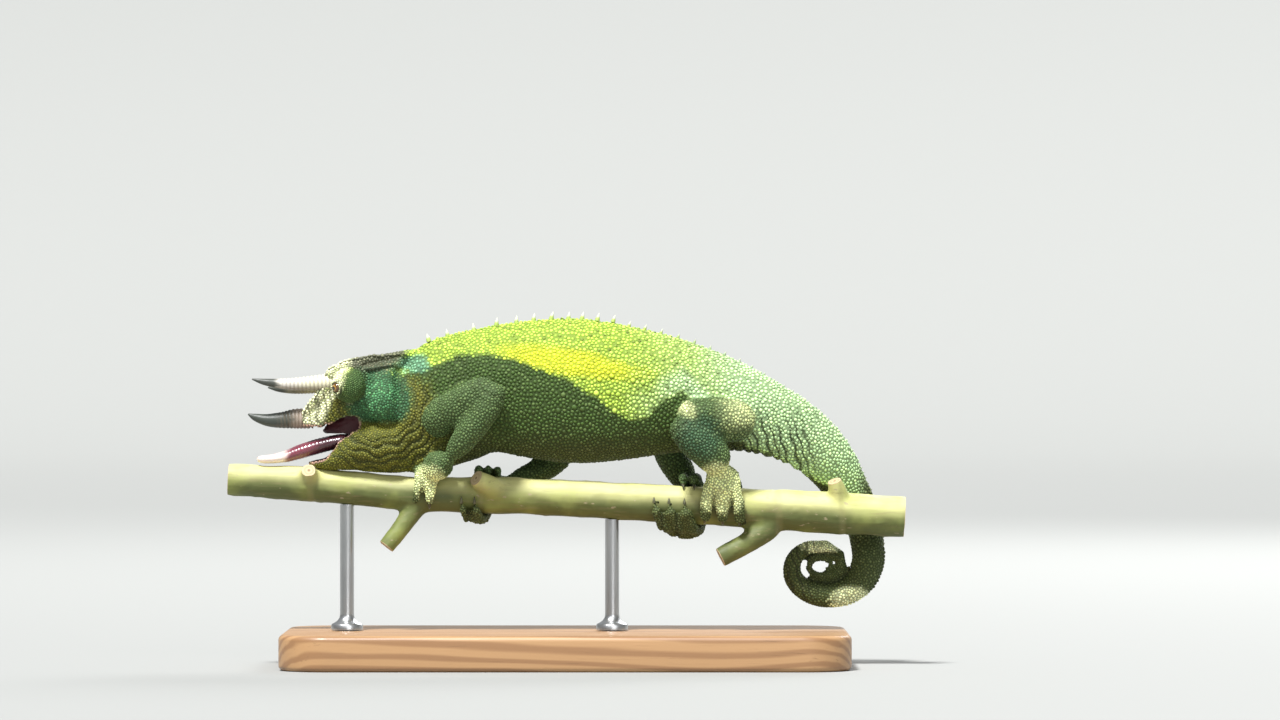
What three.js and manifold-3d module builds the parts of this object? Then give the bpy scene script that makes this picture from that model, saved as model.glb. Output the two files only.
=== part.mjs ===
// A male Jackson's three-horned chameleon gripping a cut branch, on a plain display stand.
// Millimetres, +Z up. The animal faces -X and its left side is at -Y.
// The origin is the middle of the underside of the stand's base.
import * as THREE from "three";
import { mergeVertices } from "three/addons/utils/BufferGeometryUtils.js";
import Module from "manifold-3d";

const wasm = await Module();
wasm.setup();

// ---------------------------------------------------------------- driving dimensions

const GAP = 0.3; // kept between pieces that touch
const ACROSS = new THREE.Vector3(0, 1, 0);
const ALONG_BRANCH = new THREE.Vector3(1, 0, 0);
const LEFT = -1;
const RIGHT = 1;

const BASE = { length: 160, width: 84, height: 10, corner: 14, bevel: 1.5 };
const ROD = {
  radius: 2,
  collar: 4.5,
  collarEdge: 1.5,
  collarHeight: 2.5,
  neck: 0.6,
  neckHeight: 0.8,
  frontX: -62,
  rearX: 13,
};

const BRANCH = {
  left: -95.7,
  right: 95.9,
  middleZ: 47.5,
  slope: -0.0553,
  sag: 1.2,
  sagX: -43,
  sagReach: 18,
  leftRadius: 4.7,
  rightRadius: 5.9,
  swelling: 0.5,
  swellingReach: 5,
};
const SWOLLEN_AT = [-72, -24, 60, 78];

// Trunk and tail from head to tail: x, y, z, half width, height above, depth below.
const TRUNK = [
  [-51, 0, 69.8, 8.3, 14.2, 14.6],
  [-45, 0, 70.2, 8.6, 15.6, 15.8],
  [-39, 0, 71.6, 8.9, 17.0, 16.9],
  [-32, 0, 75.0, 9.5, 18.7, 18.2],
  [-23, 0, 77.8, 10.3, 18.1, 17.6],
  [-11, 0, 78.4, 11.0, 19.6, 19.8],
  [3, 0, 77.8, 11.4, 20.9, 20.9],
  [18, 0, 77.2, 11.1, 19.1, 19.2],
  [32, 0, 76.0, 10.0, 16.5, 16.2],
  [45, 0, 73.9, 8.6, 13.5, 13.7],
  [56, 0.4, 70.4, 7.0, 11.0, 11.2],
  [65.5, 2, 65.7, 6.1, 9.6, 9.6],
  [73.3, 5.4, 59.3, 5.4, 8.2, 8.2],
  [79, 9.7, 51.2, 4.8, 6.8, 6.8],
  [83.6, 12, 43, 4.5, 5.6, 5.6],
  [85.5, 11.2, 35, 4.4, 5.1, 5.1],
];
const COIL = {
  x: 72.6,
  y: 8.6,
  z: 28.1,
  radius: 13.0,
  tightening: 0.81, // how fast the reach fades, a turn
  halfHeight: 4.9,
  halfWidth: 4.4,
  thinning: 1.1, // how fast the thickness fades, a turn
  tip: 0.2,
  turns: 2.2,
  stepsPerTurn: 10,
  squash: { outer: 0.8, inner: 0.64, tip: 0.3 },
  innerFrom: 0.75,
  innerTo: 1.25,
  tipFrom: 1.75,
  tipTo: 2.25,
};
// Places along the trunk, counted in stations, where one named part ends and the next begins.
const SPLIT = { nape: 0.6, shoulder: 2.35, rump: 10, bend: 12.6, coil: 15.35, inner: 22.5 };

const CREST = {
  from: 2.4,
  pitch: 4.4,
  height: 2.1,
  radius: 1.0,
  lean: 0.25,
  sunk: 1.1,
  fadeFrom: 7.6,
  fadeTo: 11,
  fadedShare: 0.5,
  tipShare: 0.3,
  leastPitch: 0.4,
  leastRadius: 0.4,
  uneven: 0.15,
  sides: 5,
  seed: 11,
};

// The upper head from snout to nape: x, y, z, half width, height above, depth below.
const SKULL = [
  [-76.0, 0, 68.0, 2.6, 1.9, 1.9],
  [-72.3, 0, 69.2, 4.3, 3.5, 3.7],
  [-68.2, 0, 70.8, 5.6, 4.9, 5.4],
  [-64.0, 0, 74.6, 6.5, 6.9, 7.2],
  [-59.6, 0, 77.0, 7.3, 8.3, 8.2],
  [-54.2, 0, 77.6, 8.4, 8.3, 8.2],
  [-48.8, 0, 78.0, 9.0, 8.0, 8.8],
  [-43.0, 0, 78.0, 8.8, 8.0, 9.2],
];
const CASQUE = [
  [-64.5, 0, 80.0, 3.2, 3.4, 4],
  [-58.5, 0, 82.5, 4.2, 4.7, 5],
  [-52.0, 0, 83.5, 4.2, 4.9, 6],
  [-46.0, 0, 84.6, 3.0, 5.3, 8],
  [-40.4, 0, 86.2, 1.3, 4.3, 8],
];
const SIDE_CREST = [
  [-68.2, 4.9, 81.4, 1.9],
  [-63.6, 6.4, 84.4, 1.6],
  [-58.0, 7.4, 86.2, 1.2],
  [-52.0, 6.8, 87.0, 1.2],
  [-46.4, 4.4, 88.0, 1.1],
  [-41.0, 1.2, 89.4, 0.9],
];
const SNOUT_RIDGE = [
  [-66.5, 5.0, 80.2, 1.7],
  [-70.3, 4.5, 75.6, 1.2],
  [-74.6, 2.7, 71.0, 0.9],
];
const UPPER_LIP = [
  [-76.3, 0.6, 66.6, 0.8],
  [-74.0, 3.6, 65.9, 0.9],
  [-68.6, 5.5, 65.6, 0.9],
  [-63.2, 6.7, 67.9, 0.9],
  [-58.5, 7.6, 69.4, 0.9],
  [-53.5, 8.4, 69.8, 0.8],
];
const CHEEK = { x: -51.4, y: 5.6, z: 75.6, length: 6.6, width: 5, height: 6.4 };
const NOSTRIL = { x: -72.0, y: 4.7, z: 71.0, length: 1.1, width: 1.3, height: 0.8 };
const HEAD_CUT = { depth: 20, width: 40, height: 60 }; // the block that parts head and neck

const LOWER_JAW = [
  [-73.2, 0, 57.5, 2.2, 0.9, 1.5],
  [-70.2, 0, 57.7, 4.2, 1.1, 2.5],
  [-66.8, 0, 58.2, 5.8, 1.7, 3.6],
  [-63.2, 0, 60.0, 7.1, 4.2, 5.8],
  [-59.2, 0, 62.4, 8.0, 6.4, 8.0],
  [-54.0, 0, 62.8, 8.5, 6.8, 8.4],
  [-48.8, 0, 63.0, 8.5, 6.9, 8.6],
  [-43.0, 0, 63.0, 8.5, 6.9, 8.6],
];
const MOUTH = [
  [-80, 0, 66, 2.2, 5, 7.6],
  [-73, 0, 66, 3.2, 5, 8.0],
  [-67.5, 0, 66, 4.6, 5, 7.4],
  [-62.5, 0, 67, 5.6, 5, 5.0],
  [-57.5, 0, 68, 5.8, 4, 3.0],
];
// The fleshy web between the jaws at the back of the mouth.
const GAPE = { x: -59.5, y: 0, z: 66.6, length: 10, width: 3.6, height: 6.2 };
const TONGUE = [
  [-60.5, 0, 64.4, 3.8, 1.9, 1.9],
  [-65.5, 0, 63.4, 3.9, 2.2, 2.2],
  [-70.5, 0, 62.1, 3.5, 2.3, 2.3],
  [-75.4, -0.3, 60.6, 3.1, 2.2, 2.2],
  [-79.6, -0.7, 59.2, 2.6, 1.8, 1.8],
  [-83.6, -1.1, 58.6, 2.2, 1.4, 1.4],
  [-87.8, -1.4, 58.6, 1.9, 1.35, 1.35],
];

const EYE = {
  x: -61.0,
  y: 8.0,
  z: 79.6,
  forward: -0.74,
  outward: 0.66,
  upward: -0.16,
  turret: [
    [-4.2, 4.4],
    [-1.6, 5.4],
    [0.8, 5.35],
    [2.8, 4.4],
    [4.5, 2.7],
    [5.6, 1.75],
  ],
  turretBack: 3.4,
  turretFront: 0.5,
  ballAt: 4.3,
  ballRadius: 1.9,
};
const EYE_RIM = { radius: 6.0, thickness: 0.75, from: 110, to: -70, steps: 5, outward: 0.6 };

const BROW_HORN = [
  [-64.0, 3.8, 80.4, 2.5],
  [-69.0, 4.5, 80.2, 2.35],
  [-74.5, 4.9, 79.9, 1.95],
  [-80.0, 5.2, 79.9, 1.5],
  [-85.0, 5.4, 80.4, 1.0],
  [-88.8, 5.5, 81.3, 0.3],
];
const RIGHT_BROW_HORN = { length: 0.84, drop: 2.4 }; // share of the left one's length, and lower tip
const NOSE_HORN = [
  [-72.4, 0, 70.0, 2.9],
  [-76.5, 0, 70.0, 2.9],
  [-80.5, 0, 69.6, 2.35],
  [-84.5, 0, 69.6, 1.8],
  [-88.0, 0, 70.4, 1.1],
  [-90.2, 0, 71.4, 0.35],
];

// Lengths over which the ends of forms are rounded.
const ROUNDING = {
  snout: 2,
  casqueFront: 2,
  casqueBack: 1.2,
  ridge: 0.8,
  eyeRim: 1,
  horn: 0.5,
  mouth: 2,
  chin: 2.2,
  tongueRoot: 2,
  tonguePad: 1.6,
  limb: 2.6,
  heel: 1.6,
  sole: 2.6,
  tailTip: 1,
};

// Limbs from the body outwards: x, y, z, radius.
const LIMBS = {
  upper_arm_left: [
    [-38, -5.5, 68, 5.2],
    [-33, -10.4, 72, 4.9],
    [-26.5, -13.6, 76.8, 4.4],
    [-20, -14.8, 79.9, 4.0],
  ],
  forearm_left: [
    [-18.6, -14.9, 80.3, 3.7],
    [-21.6, -15.6, 73.8, 4.3],
    [-27.0, -14.4, 66.2, 4.1],
    [-32.6, -11.6, 59.4, 3.2],
  ],
  upper_arm_right: [
    [-34, 6, 68, 5.2],
    [-23, 11.6, 65.6, 4.6],
    [-11, 13.9, 63.4, 4.2],
    [0, 13.6, 62.6, 3.9],
  ],
  forearm_right: [
    [1.4, 13.2, 62.0, 3.7],
    [-4.0, 12.8, 57.2, 4.1],
    [-10.5, 11.8, 53.8, 3.7],
    [-16.5, 10.2, 51.6, 3.1],
  ],
  thigh_left: [
    [51, -4.5, 68, 6.2],
    [45, -9.6, 69.8, 5.9],
    [38, -12.4, 71, 5.2],
    [31.4, -13.2, 71, 4.5],
  ],
  shin_left: [
    [30.4, -13.3, 70.4, 4.3],
    [35.2, -13.4, 65.6, 5.7],
    [40.6, -11.8, 60.6, 5.5],
    [44.2, -9.6, 55.8, 4.8],
  ],
  thigh_right: [
    [50, 4.5, 68, 6.2],
    [43, 9.6, 67.4, 5.8],
    [35.5, 12.6, 66.8, 5.1],
    [28.5, 13.4, 66.6, 4.4],
  ],
  shin_right: [
    [27.4, 13.4, 66.0, 4.1],
    [29.2, 13.4, 60.6, 5.0],
    [32.2, 12.4, 55.0, 4.6],
    [35.0, 10.8, 50.8, 3.9],
  ],
};

// A foot holds the branch between two bundles of toes. Angles go round the branch in degrees:
// 0 faces the left side, 90 is the top and 180 faces the right side.
const TOES_APART = 0.34; // share of its bend round the branch where a toe starts to show apart
const TOES_JOINED = 0.52; // share of the bend that the joined part reaches
const TOE_PRESS = 0.92; // share of its thickness that a toe keeps where it presses on the bark
const TOE_SPLAY = { root: 0.9, tip: 1.06 }; // shares of a bundle's spread
const CLAW = { from: -0.3, to: 0.8, point: 0.15 }; // shares of its length and of its radius
const MITT = { thickness: 0.62, width: 0.9, edge: 0.8 }; // shares of the palm's and the toe's radius
const PALM = { ankle: 0.88, bark: 0.86, hold: 0.7 }; // shares of the palm's radius
const FORE_TOE = { root: 1.9, tip: 1.4, clawLength: 2.2, clawRadius: 0.7 };
const HIND_TOE = { root: 2.4, tip: 1.85, clawLength: 2.2, clawRadius: 0.75 };
const FEET = {
  front_foot_left: {
    ankle: [-33.4, -11.0, 58.4],
    x: -39.2,
    toe: FORE_TOE,
    root: 50,
    palm: 4.3,
    bundles: [
      { toes: 2, end: -27, shift: -1.4, spread: 3.9 },
      { toes: 3, end: 170, shift: 1.6, spread: 2.8 },
    ],
  },
  front_foot_right: {
    ankle: [-17.4, 9.8, 51.3],
    x: -22.6,
    toe: FORE_TOE,
    root: 168,
    palm: 4.0,
    bundles: [
      { toes: 2, end: 340, shift: -5.0, spread: 3.6 },
      { toes: 3, end: 76, shift: 0.6, spread: 2.6 },
    ],
  },
  hind_foot_left: {
    ankle: [44.6, -8.8, 54.8],
    x: 44.0,
    toe: HIND_TOE,
    root: 50,
    palm: 5.9,
    bundles: [
      { toes: 3, end: -36, shift: 0.2, spread: 4.7 },
      { toes: 2, end: 150, shift: 3.0, spread: 3.8 },
    ],
  },
  hind_foot_right: {
    ankle: [35.4, 10.2, 50.2],
    x: 36.4,
    toe: HIND_TOE,
    root: 176,
    palm: 5.5,
    bundles: [
      { toes: 3, end: 360, shift: -7.2, spread: 4.0 },
      { toes: 2, end: 66, shift: -1.8, spread: 3.0 },
    ],
  },
};

// Cut ends of twigs and leaf stalks: from the branch's middle outwards, x, y, z, radius.
const TWIGS = [
  [[-40.5, 0, 47.5, 3.2], [-44.4, -1.6, 42.4, 3.0], [-47.6, -2.8, 37.8, 2.8], [-50.8, -3.6, 33.8, 2.7]],
  [[61, 0, 44, 4.2], [56.5, -1.8, 38.6, 3.6], [50, -2.8, 34.2, 3.2], [43.5, -3.6, 30.8, 3.1]],
  [[-72, 0, 51.4, 3.4], [-72.3, -3.4, 53.6, 3.0], [-72.5, -6.6, 55.6, 2.2]],
  [[-17.5, -1.0, 48.8, 3.6], [-21.5, -4.6, 50.8, 3.4], [-25.4, -7.8, 53.4, 2.6]],
  [[78, 0, 43.4, 3.9], [77.2, -2.9, 48.2, 3.0], [75.8, -4.6, 52.6, 2.3]],
];

const COLOURS = {
  back: "#9cb83a",
  flank: "#5c7a33",
  head: "#4f8f5a",
  throat: "#8a8a35",
  limb: "#6f8f63",
  horn: "#8d8277",
  tongue: "#c98a86",
  eye: "#20180f",
  bark: "#8b9650",
  wood: "#a8835a",
  steel: "#8f9396",
};

// ---------------------------------------------------------------- joining and cutting

/** Drops the triangles that have lost an edge, once equal vertices are one. */
function weld(geometry) {
  geometry.deleteAttribute("normal");
  geometry.deleteAttribute("uv");
  const merged = mergeVertices(geometry, 1e-4);
  const corners = merged.getIndex().array;
  const kept = [];
  for (let i = 0; i < corners.length; i += 3) {
    const [a, b, c] = corners.slice(i, i + 3);
    if (a !== b && b !== c && c !== a) kept.push(a, b, c);
  }
  merged.setIndex(kept);
  return merged;
}

function solidOf(geometry) {
  const merged = weld(geometry);
  const vertProperties = new Float32Array(merged.getAttribute("position").array);
  const triVerts = new Uint32Array(merged.getIndex().array);
  return new wasm.Manifold(new wasm.Mesh({ numProp: 3, vertProperties, triVerts }));
}

function join(...solids) {
  return solids.reduce((whole, solid) => whole.add(solid));
}

function cut(solid, ...cutters) {
  return cutters.reduce((rest, cutter) => rest.subtract(cutter), solid);
}

/** The piece of a solid with the most volume, which drops scraps and sealed hollows. */
function largest(solid) {
  return solid.decompose().reduce((best, piece) => (piece.volume() > best.volume() ? piece : best));
}

// ---------------------------------------------------------------- rounded forms

/** A circular or oval form along a curve. A station is x, y, z, half width, height above, depth below. */
class Form {
  constructor(stations, { sides = 12, ridge = 1, keel = 1, side = ACROSS } = {}) {
    const places = stations.map(([x, y, z]) => new THREE.Vector3(x, y, z));
    const girths = stations.map(([, , , half, up = half, down = up]) => new THREE.Vector3(half, up, down));
    this.path = new THREE.CatmullRomCurve3(places, false, "catmullrom");
    this.girth = new THREE.CatmullRomCurve3(girths, false, "catmullrom");
    this.last = stations.length - 1;
    this.sides = sides;
    this.ridge = ridge;
    this.keel = keel;
    this.side = side;
  }

  /** Millimetres along the curve for one station. */
  speed(station) {
    const step = 0.02;
    const before = this.path.getPoint(Math.max(station - step, 0) / this.last);
    const after = this.path.getPoint(Math.min(station + step, this.last) / this.last);
    return before.distanceTo(after) / (Math.min(station + step, this.last) - Math.max(station - step, 0));
  }

  /** The middle, directions and sizes of the section at a station. Past an end it runs straight on. */
  section(station) {
    const inside = Math.min(Math.max(station, 0), this.last);
    const along = this.path.getTangent(inside / this.last);
    const overrun = (station - inside) * this.speed(inside);
    const middle = this.path.getPoint(inside / this.last).addScaledVector(along, overrun);
    const side = this.side.clone().addScaledVector(along, -this.side.dot(along)).normalize();
    const up = new THREE.Vector3().crossVectors(along, side);
    const { x: half, y: above, z: below } = this.girth.getPoint(inside / this.last);
    return { middle, along, side, up, half, above, below };
  }

  /** A point of the surface: the angle is 0 at the side and 90 degrees at the top. */
  surface(section, angle, share = 1, grow = 0) {
    const across = Math.cos(angle);
    const rise = Math.sin(angle);
    const blunt = rise > 0 ? this.ridge : this.keel;
    const width = (section.half * share + grow * share) * Math.sign(across) * Math.abs(across) ** blunt;
    const height = ((rise > 0 ? section.above : section.below) + grow) * share * rise;
    return section.middle.clone().addScaledVector(section.side, width).addScaledVector(section.up, height);
  }

  /** The solid between two stations, with flat ends or ends rounded over a length. */
  solid(options = {}) {
    const { from = 0, to = this.last, rows = 8, sides = this.sides } = options;
    const { grow = 0, roundFrom = 0, roundTo = 0 } = options;
    const first = from - grow / this.speed(from);
    const final = to + grow / this.speed(to);
    const geometry = new THREE.CylinderGeometry(1, 1, 1, sides, rows);
    const position = geometry.getAttribute("position");
    for (let i = 0; i < position.count; i += 1) {
      const share = closerRows(0.5 - position.getY(i), roundFrom > 0, roundTo > 0);
      const station = THREE.MathUtils.lerp(first, final, share);
      const section = this.section(station);
      const fromStart = (station - first) * this.speed(from);
      const fromEnd = (final - station) * this.speed(to);
      const reach = Math.hypot(position.getX(i), position.getZ(i));
      const swell = reach * endShare(fromStart, roundFrom) * endShare(fromEnd, roundTo);
      const angle = Math.atan2(position.getZ(i), position.getX(i));
      position.setXYZ(i, ...this.surface(section, angle, swell, grow).toArray());
    }
    return solidOf(geometry);
  }
}

/** Spaces rows evenly, or closer together towards a rounded end. */
function closerRows(share, roundStart, roundFinish) {
  if (roundStart && roundFinish) return (1 - Math.cos(Math.PI * share)) / 2;
  if (roundStart) return 1 - Math.cos((Math.PI / 2) * share);
  if (roundFinish) return Math.sin((Math.PI / 2) * share);
  return share;
}

/** How much of its full girth a form has at a distance from an end rounded over a length. */
function endShare(distance, length) {
  if (distance >= length) return 1;
  return Math.sqrt(Math.max(1 - (1 - distance / length) ** 2, 0));
}

function ellipsoid({ x, y, z, length, width, height }, grow = 0, sides = 12, rows = 8) {
  const geometry = new THREE.SphereGeometry(1, sides, rows);
  geometry.scale(length + grow, width + grow, height + grow);
  geometry.translate(x, y, z);
  return solidOf(geometry);
}

/** Stations on the other side of the animal. */
function onSide(stations, side) {
  return stations.map(([x, y, z, ...sizes]) => [x, y * side, z, ...sizes]);
}

/** A repeatable run of numbers from 0 to 1. */
function seededRandom(seed) {
  let state = seed;
  return () => {
    state = (state * 16807) % 2147483647;
    return state / 2147483647;
  };
}

// ---------------------------------------------------------------- branch and stand

function branchRadius(x) {
  const share = (x - BRANCH.left) / (BRANCH.right - BRANCH.left);
  const plain = THREE.MathUtils.lerp(BRANCH.leftRadius, BRANCH.rightRadius, share);
  return SWOLLEN_AT.reduce(
    (radius, at) => radius + BRANCH.swelling * Math.exp(-(((x - at) / BRANCH.swellingReach) ** 2)),
    plain,
  );
}

function branchHeight(x) {
  const sag = BRANCH.sag * Math.exp(-(((x - BRANCH.sagX) / BRANCH.sagReach) ** 2));
  return BRANCH.middleZ + BRANCH.slope * x - sag;
}

function branchForm() {
  const steps = 30;
  const stations = [];
  for (let i = 0; i <= steps; i += 1) {
    const x = THREE.MathUtils.lerp(BRANCH.left, BRANCH.right, i / steps);
    stations.push([x, 0, branchHeight(x), branchRadius(x)]);
  }
  return new Form(stations, { sides: 14 });
}

function branch(grow = 0) {
  const stem = branchForm().solid({ rows: 18, grow });
  const twigs = TWIGS.map((stations) => new Form(stations, { sides: 8 }).solid({ rows: 3, grow }));
  return join(stem, ...twigs);
}

function standBase() {
  const { length, width, height, corner, bevel } = BASE;
  const halfLength = length / 2 - bevel;
  const halfWidth = width / 2 - bevel;
  const outline = new THREE.Shape();
  outline.moveTo(-halfLength + corner, -halfWidth);
  outline.lineTo(halfLength - corner, -halfWidth);
  outline.absarc(halfLength - corner, -halfWidth + corner, corner, -Math.PI / 2, 0);
  outline.lineTo(halfLength, halfWidth - corner);
  outline.absarc(halfLength - corner, halfWidth - corner, corner, 0, Math.PI / 2);
  outline.lineTo(-halfLength + corner, halfWidth);
  outline.absarc(-halfLength + corner, halfWidth - corner, corner, Math.PI / 2, Math.PI);
  outline.lineTo(-halfLength, -halfWidth + corner);
  outline.absarc(-halfLength + corner, -halfWidth + corner, corner, Math.PI, 1.5 * Math.PI);
  const geometry = new THREE.ExtrudeGeometry(outline, {
    depth: height - 2 * bevel,
    bevelThickness: bevel,
    bevelSize: bevel,
    bevelSegments: 1,
    curveSegments: 5,
  });
  geometry.translate(0, 0, bevel);
  return solidOf(geometry);
}

/** A rod with a collar at its foot, cut to the underside of the branch. */
function standRod(x, clearOf) {
  const { radius, collar, collarEdge, collarHeight, neck, neckHeight } = ROD;
  const foot = BASE.height + GAP;
  const profile = [
    [0, foot],
    [collar, foot],
    [collar, foot + collarEdge],
    [radius + neck, foot + collarHeight],
    [radius, foot + collarHeight + neckHeight],
    [radius, branchHeight(x)],
    [0, branchHeight(x)],
  ];
  const geometry = new THREE.LatheGeometry(profile.map(([r, z]) => new THREE.Vector2(r, z)), 14);
  geometry.rotateX(Math.PI / 2);
  geometry.translate(x, 0, 0);
  return cut(solidOf(geometry), clearOf);
}

// ---------------------------------------------------------------- trunk, tail and crest

function coilStations() {
  const { x, y, z, radius, squash, turns, stepsPerTurn } = COIL;
  const { lerp, smoothstep } = THREE.MathUtils;
  const stations = [];
  for (let step = 0; step <= turns * stepsPerTurn; step += 1) {
    const turn = step / stepsPerTurn;
    const angle = turn * 2 * Math.PI;
    const reach = radius * Math.exp(-COIL.tightening * turn);
    const thin = Math.exp(-COIL.thinning * turn);
    const innerSquash = lerp(squash.outer, squash.inner, smoothstep(turn, COIL.innerFrom, COIL.innerTo));
    const flatness = lerp(innerSquash, squash.tip, smoothstep(turn, COIL.tipFrom, COIL.tipTo));
    const blunt = (COIL.tip * turn) / turns;
    stations.push([
      x + reach * Math.cos(angle),
      y,
      z - flatness * reach * Math.sin(angle),
      COIL.halfWidth * thin + blunt,
      COIL.halfHeight * thin + blunt,
    ]);
  }
  return stations;
}

const trunk = new Form([...TRUNK, ...coilStations()], { ridge: 1.22, keel: 1.05 });

/** A length of the trunk or tail that stops short of its neighbours by the gap. */
function trunkLength({ from, to, rows, sides = 20, grow = 0, roundTo = 0 }) {
  const first = from + GAP / 2 / trunk.speed(from);
  const final = to - (roundTo ? 0 : GAP / 2 / trunk.speed(to));
  return trunk.solid({ from: first, to: final, rows, sides, grow, roundTo });
}

/** Places and sizes of the spines along the back and tail. */
function crestSpines() {
  const random = seededRandom(CREST.seed);
  const spines = [];
  let station = CREST.from;
  while (station < SPLIT.coil) {
    const section = trunk.section(station);
    const fade = THREE.MathUtils.smoothstep(station, CREST.fadeFrom, CREST.fadeTo);
    const bend = THREE.MathUtils.smoothstep(station, SPLIT.rump, SPLIT.coil);
    const onBack = THREE.MathUtils.lerp(1, CREST.fadedShare, fade);
    const size = THREE.MathUtils.lerp(onBack, CREST.tipShare, bend);
    const uneven = THREE.MathUtils.lerp(1 - CREST.uneven, 1 + CREST.uneven, random());
    spines.push({ station, size: size * uneven, section });
    station += (CREST.pitch * Math.max(size, CREST.leastPitch)) / trunk.speed(station);
  }
  return spines;
}

const spines = crestSpines();

function spineSolid({ size, section }) {
  const height = CREST.height * size + CREST.sunk;
  const radius = CREST.radius * THREE.MathUtils.lerp(CREST.leastRadius, 1, size);
  const geometry = new THREE.ConeGeometry(radius, height, CREST.sides);
  geometry.translate(0, height / 2 - CREST.sunk, 0);
  const lean = section.up.clone().addScaledVector(section.along, CREST.lean).normalize();
  geometry.applyQuaternion(new THREE.Quaternion().setFromUnitVectors(new THREE.Vector3(0, 1, 0), lean));
  const root = trunk.surface(section, Math.PI / 2);
  geometry.translate(root.x, root.y, root.z);
  return solidOf(geometry);
}

function withSpines(solid, from, to) {
  const margin = CREST.radius + GAP;
  const rooted = spines.filter(
    ({ station }) =>
      (station - from) * trunk.speed(station) > margin && (to - station) * trunk.speed(station) > margin,
  );
  return join(solid, ...rooted.map(spineSolid));
}

// ---------------------------------------------------------------- head

function eyeForm(side) {
  const axis = new THREE.Vector3(EYE.forward, EYE.outward * side, EYE.upward).normalize();
  const stations = EYE.turret.map(([distance, radius]) => [
    EYE.x + axis.x * distance,
    EYE.y * side + axis.y * distance,
    EYE.z + axis.z * distance,
    radius,
  ]);
  return { axis, form: new Form(stations, { sides: 14 }) };
}

function eyeTurret(side, grow = 0) {
  const { turretBack: roundFrom, turretFront: roundTo } = EYE;
  return eyeForm(side).form.solid({ rows: 7, grow, roundFrom, roundTo });
}

function eyeball(side, grow = 0) {
  const { axis } = eyeForm(side);
  const { ballRadius: length, ballRadius: width, ballRadius: height } = EYE;
  const { x, y, z } = new THREE.Vector3(EYE.x, EYE.y * side, EYE.z).addScaledVector(axis, EYE.ballAt);
  return ellipsoid({ x, y, z, length, width, height }, grow);
}

/** The raised crescent behind and under an eye turret. */
function eyeRim(side, grow = 0) {
  const stations = [];
  for (let i = 0; i <= EYE_RIM.steps; i += 1) {
    const angle = THREE.MathUtils.degToRad(THREE.MathUtils.lerp(EYE_RIM.from, EYE_RIM.to, i / EYE_RIM.steps));
    stations.push([
      EYE.x + EYE_RIM.radius * Math.cos(angle),
      (EYE.y + EYE_RIM.outward) * side,
      EYE.z + EYE_RIM.radius * Math.sin(angle),
      EYE_RIM.thickness,
    ]);
  }
  const { eyeRim: roundFrom, eyeRim: roundTo } = ROUNDING;
  return new Form(stations, { sides: 5 }).solid({ rows: 6, grow, roundFrom, roundTo });
}

function horn(stations) {
  return new Form(stations, { sides: 10 }).solid({ rows: 7, roundTo: ROUNDING.horn });
}

/** A horn over one eye. The two aren't even: the right one is shorter and hangs lower. */
function browHorn(side) {
  const { length, drop } = side === RIGHT ? RIGHT_BROW_HORN : { length: 1, drop: 0 };
  const [rootX] = BROW_HORN[0];
  const last = BROW_HORN.length - 1;
  const stations = BROW_HORN.map(([x, y, z, radius], i) => [
    rootX + (x - rootX) * length,
    y * side,
    z - (drop * i) / last,
    radius,
  ]);
  return horn(stations);
}

function ridgeOf(stations, side, grow) {
  const { ridge: roundFrom, ridge: roundTo } = ROUNDING;
  return new Form(onSide(stations, side), { sides: 6 }).solid({ rows: 6, grow, roundFrom, roundTo });
}

/** A block that takes everything behind the slanting plane where the head meets the neck. */
function behindHead() {
  const { middle, along, side, up } = trunk.section(SPLIT.nape);
  const geometry = new THREE.BoxGeometry(HEAD_CUT.depth, HEAD_CUT.width, HEAD_CUT.height);
  geometry.translate((HEAD_CUT.depth - GAP) / 2, 0, 0);
  geometry.applyMatrix4(new THREE.Matrix4().makeBasis(along, side, up).setPosition(middle));
  return solidOf(geometry);
}

function skull(grow = 0) {
  const skullForm = new Form(SKULL, { sides: 20, ridge: 0.85, keel: 0.8 });
  const casqueForm = new Form(CASQUE, { sides: 12, ridge: 1.25 });
  const core = skullForm.solid({ rows: 12, grow, roundFrom: ROUNDING.snout });
  const { casqueFront: roundFrom, casqueBack: roundTo } = ROUNDING;
  const casque = casqueForm.solid({ rows: 7, grow, roundFrom, roundTo });
  const crests = [];
  const sides = [];
  for (const side of [LEFT, RIGHT]) {
    crests.push(ridgeOf(SIDE_CREST, side, grow));
    sides.push(ellipsoid({ ...CHEEK, y: CHEEK.y * side }, grow));
    sides.push(ridgeOf(SNOUT_RIDGE, side, grow), ridgeOf(UPPER_LIP, side, grow));
  }
  return join(cut(join(core, ...sides), behindHead()), casque, ...crests);
}

function nostril(side) {
  return ellipsoid({ ...NOSTRIL, y: NOSTRIL.y * side }, 0, 8, 6);
}

function mouthHollow() {
  const form = new Form(MOUTH, { sides: 14, ridge: 0.8, keel: 0.8 });
  return form.solid({ rows: 8, roundTo: ROUNDING.mouth });
}

function gapeWeb(grow = 0) {
  return ellipsoid(GAPE, grow, 8, 6);
}

function lowerJaw(grow = 0) {
  const form = new Form(LOWER_JAW, { sides: 18, ridge: 0.8, keel: 0.9 });
  return form.solid({ rows: 11, grow, roundFrom: ROUNDING.chin });
}

function tongue(grow = 0) {
  const { tongueRoot: roundFrom, tonguePad: roundTo } = ROUNDING;
  return new Form(TONGUE, { sides: 12 }).solid({ rows: 10, grow, roundFrom, roundTo });
}

// ---------------------------------------------------------------- limbs and feet

function limb(name, grow = 0) {
  const { limb: roundFrom, limb: roundTo } = ROUNDING;
  return new Form(LIMBS[name], { sides: 11 }).solid({ rows: 7, grow, roundFrom, roundTo });
}

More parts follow.
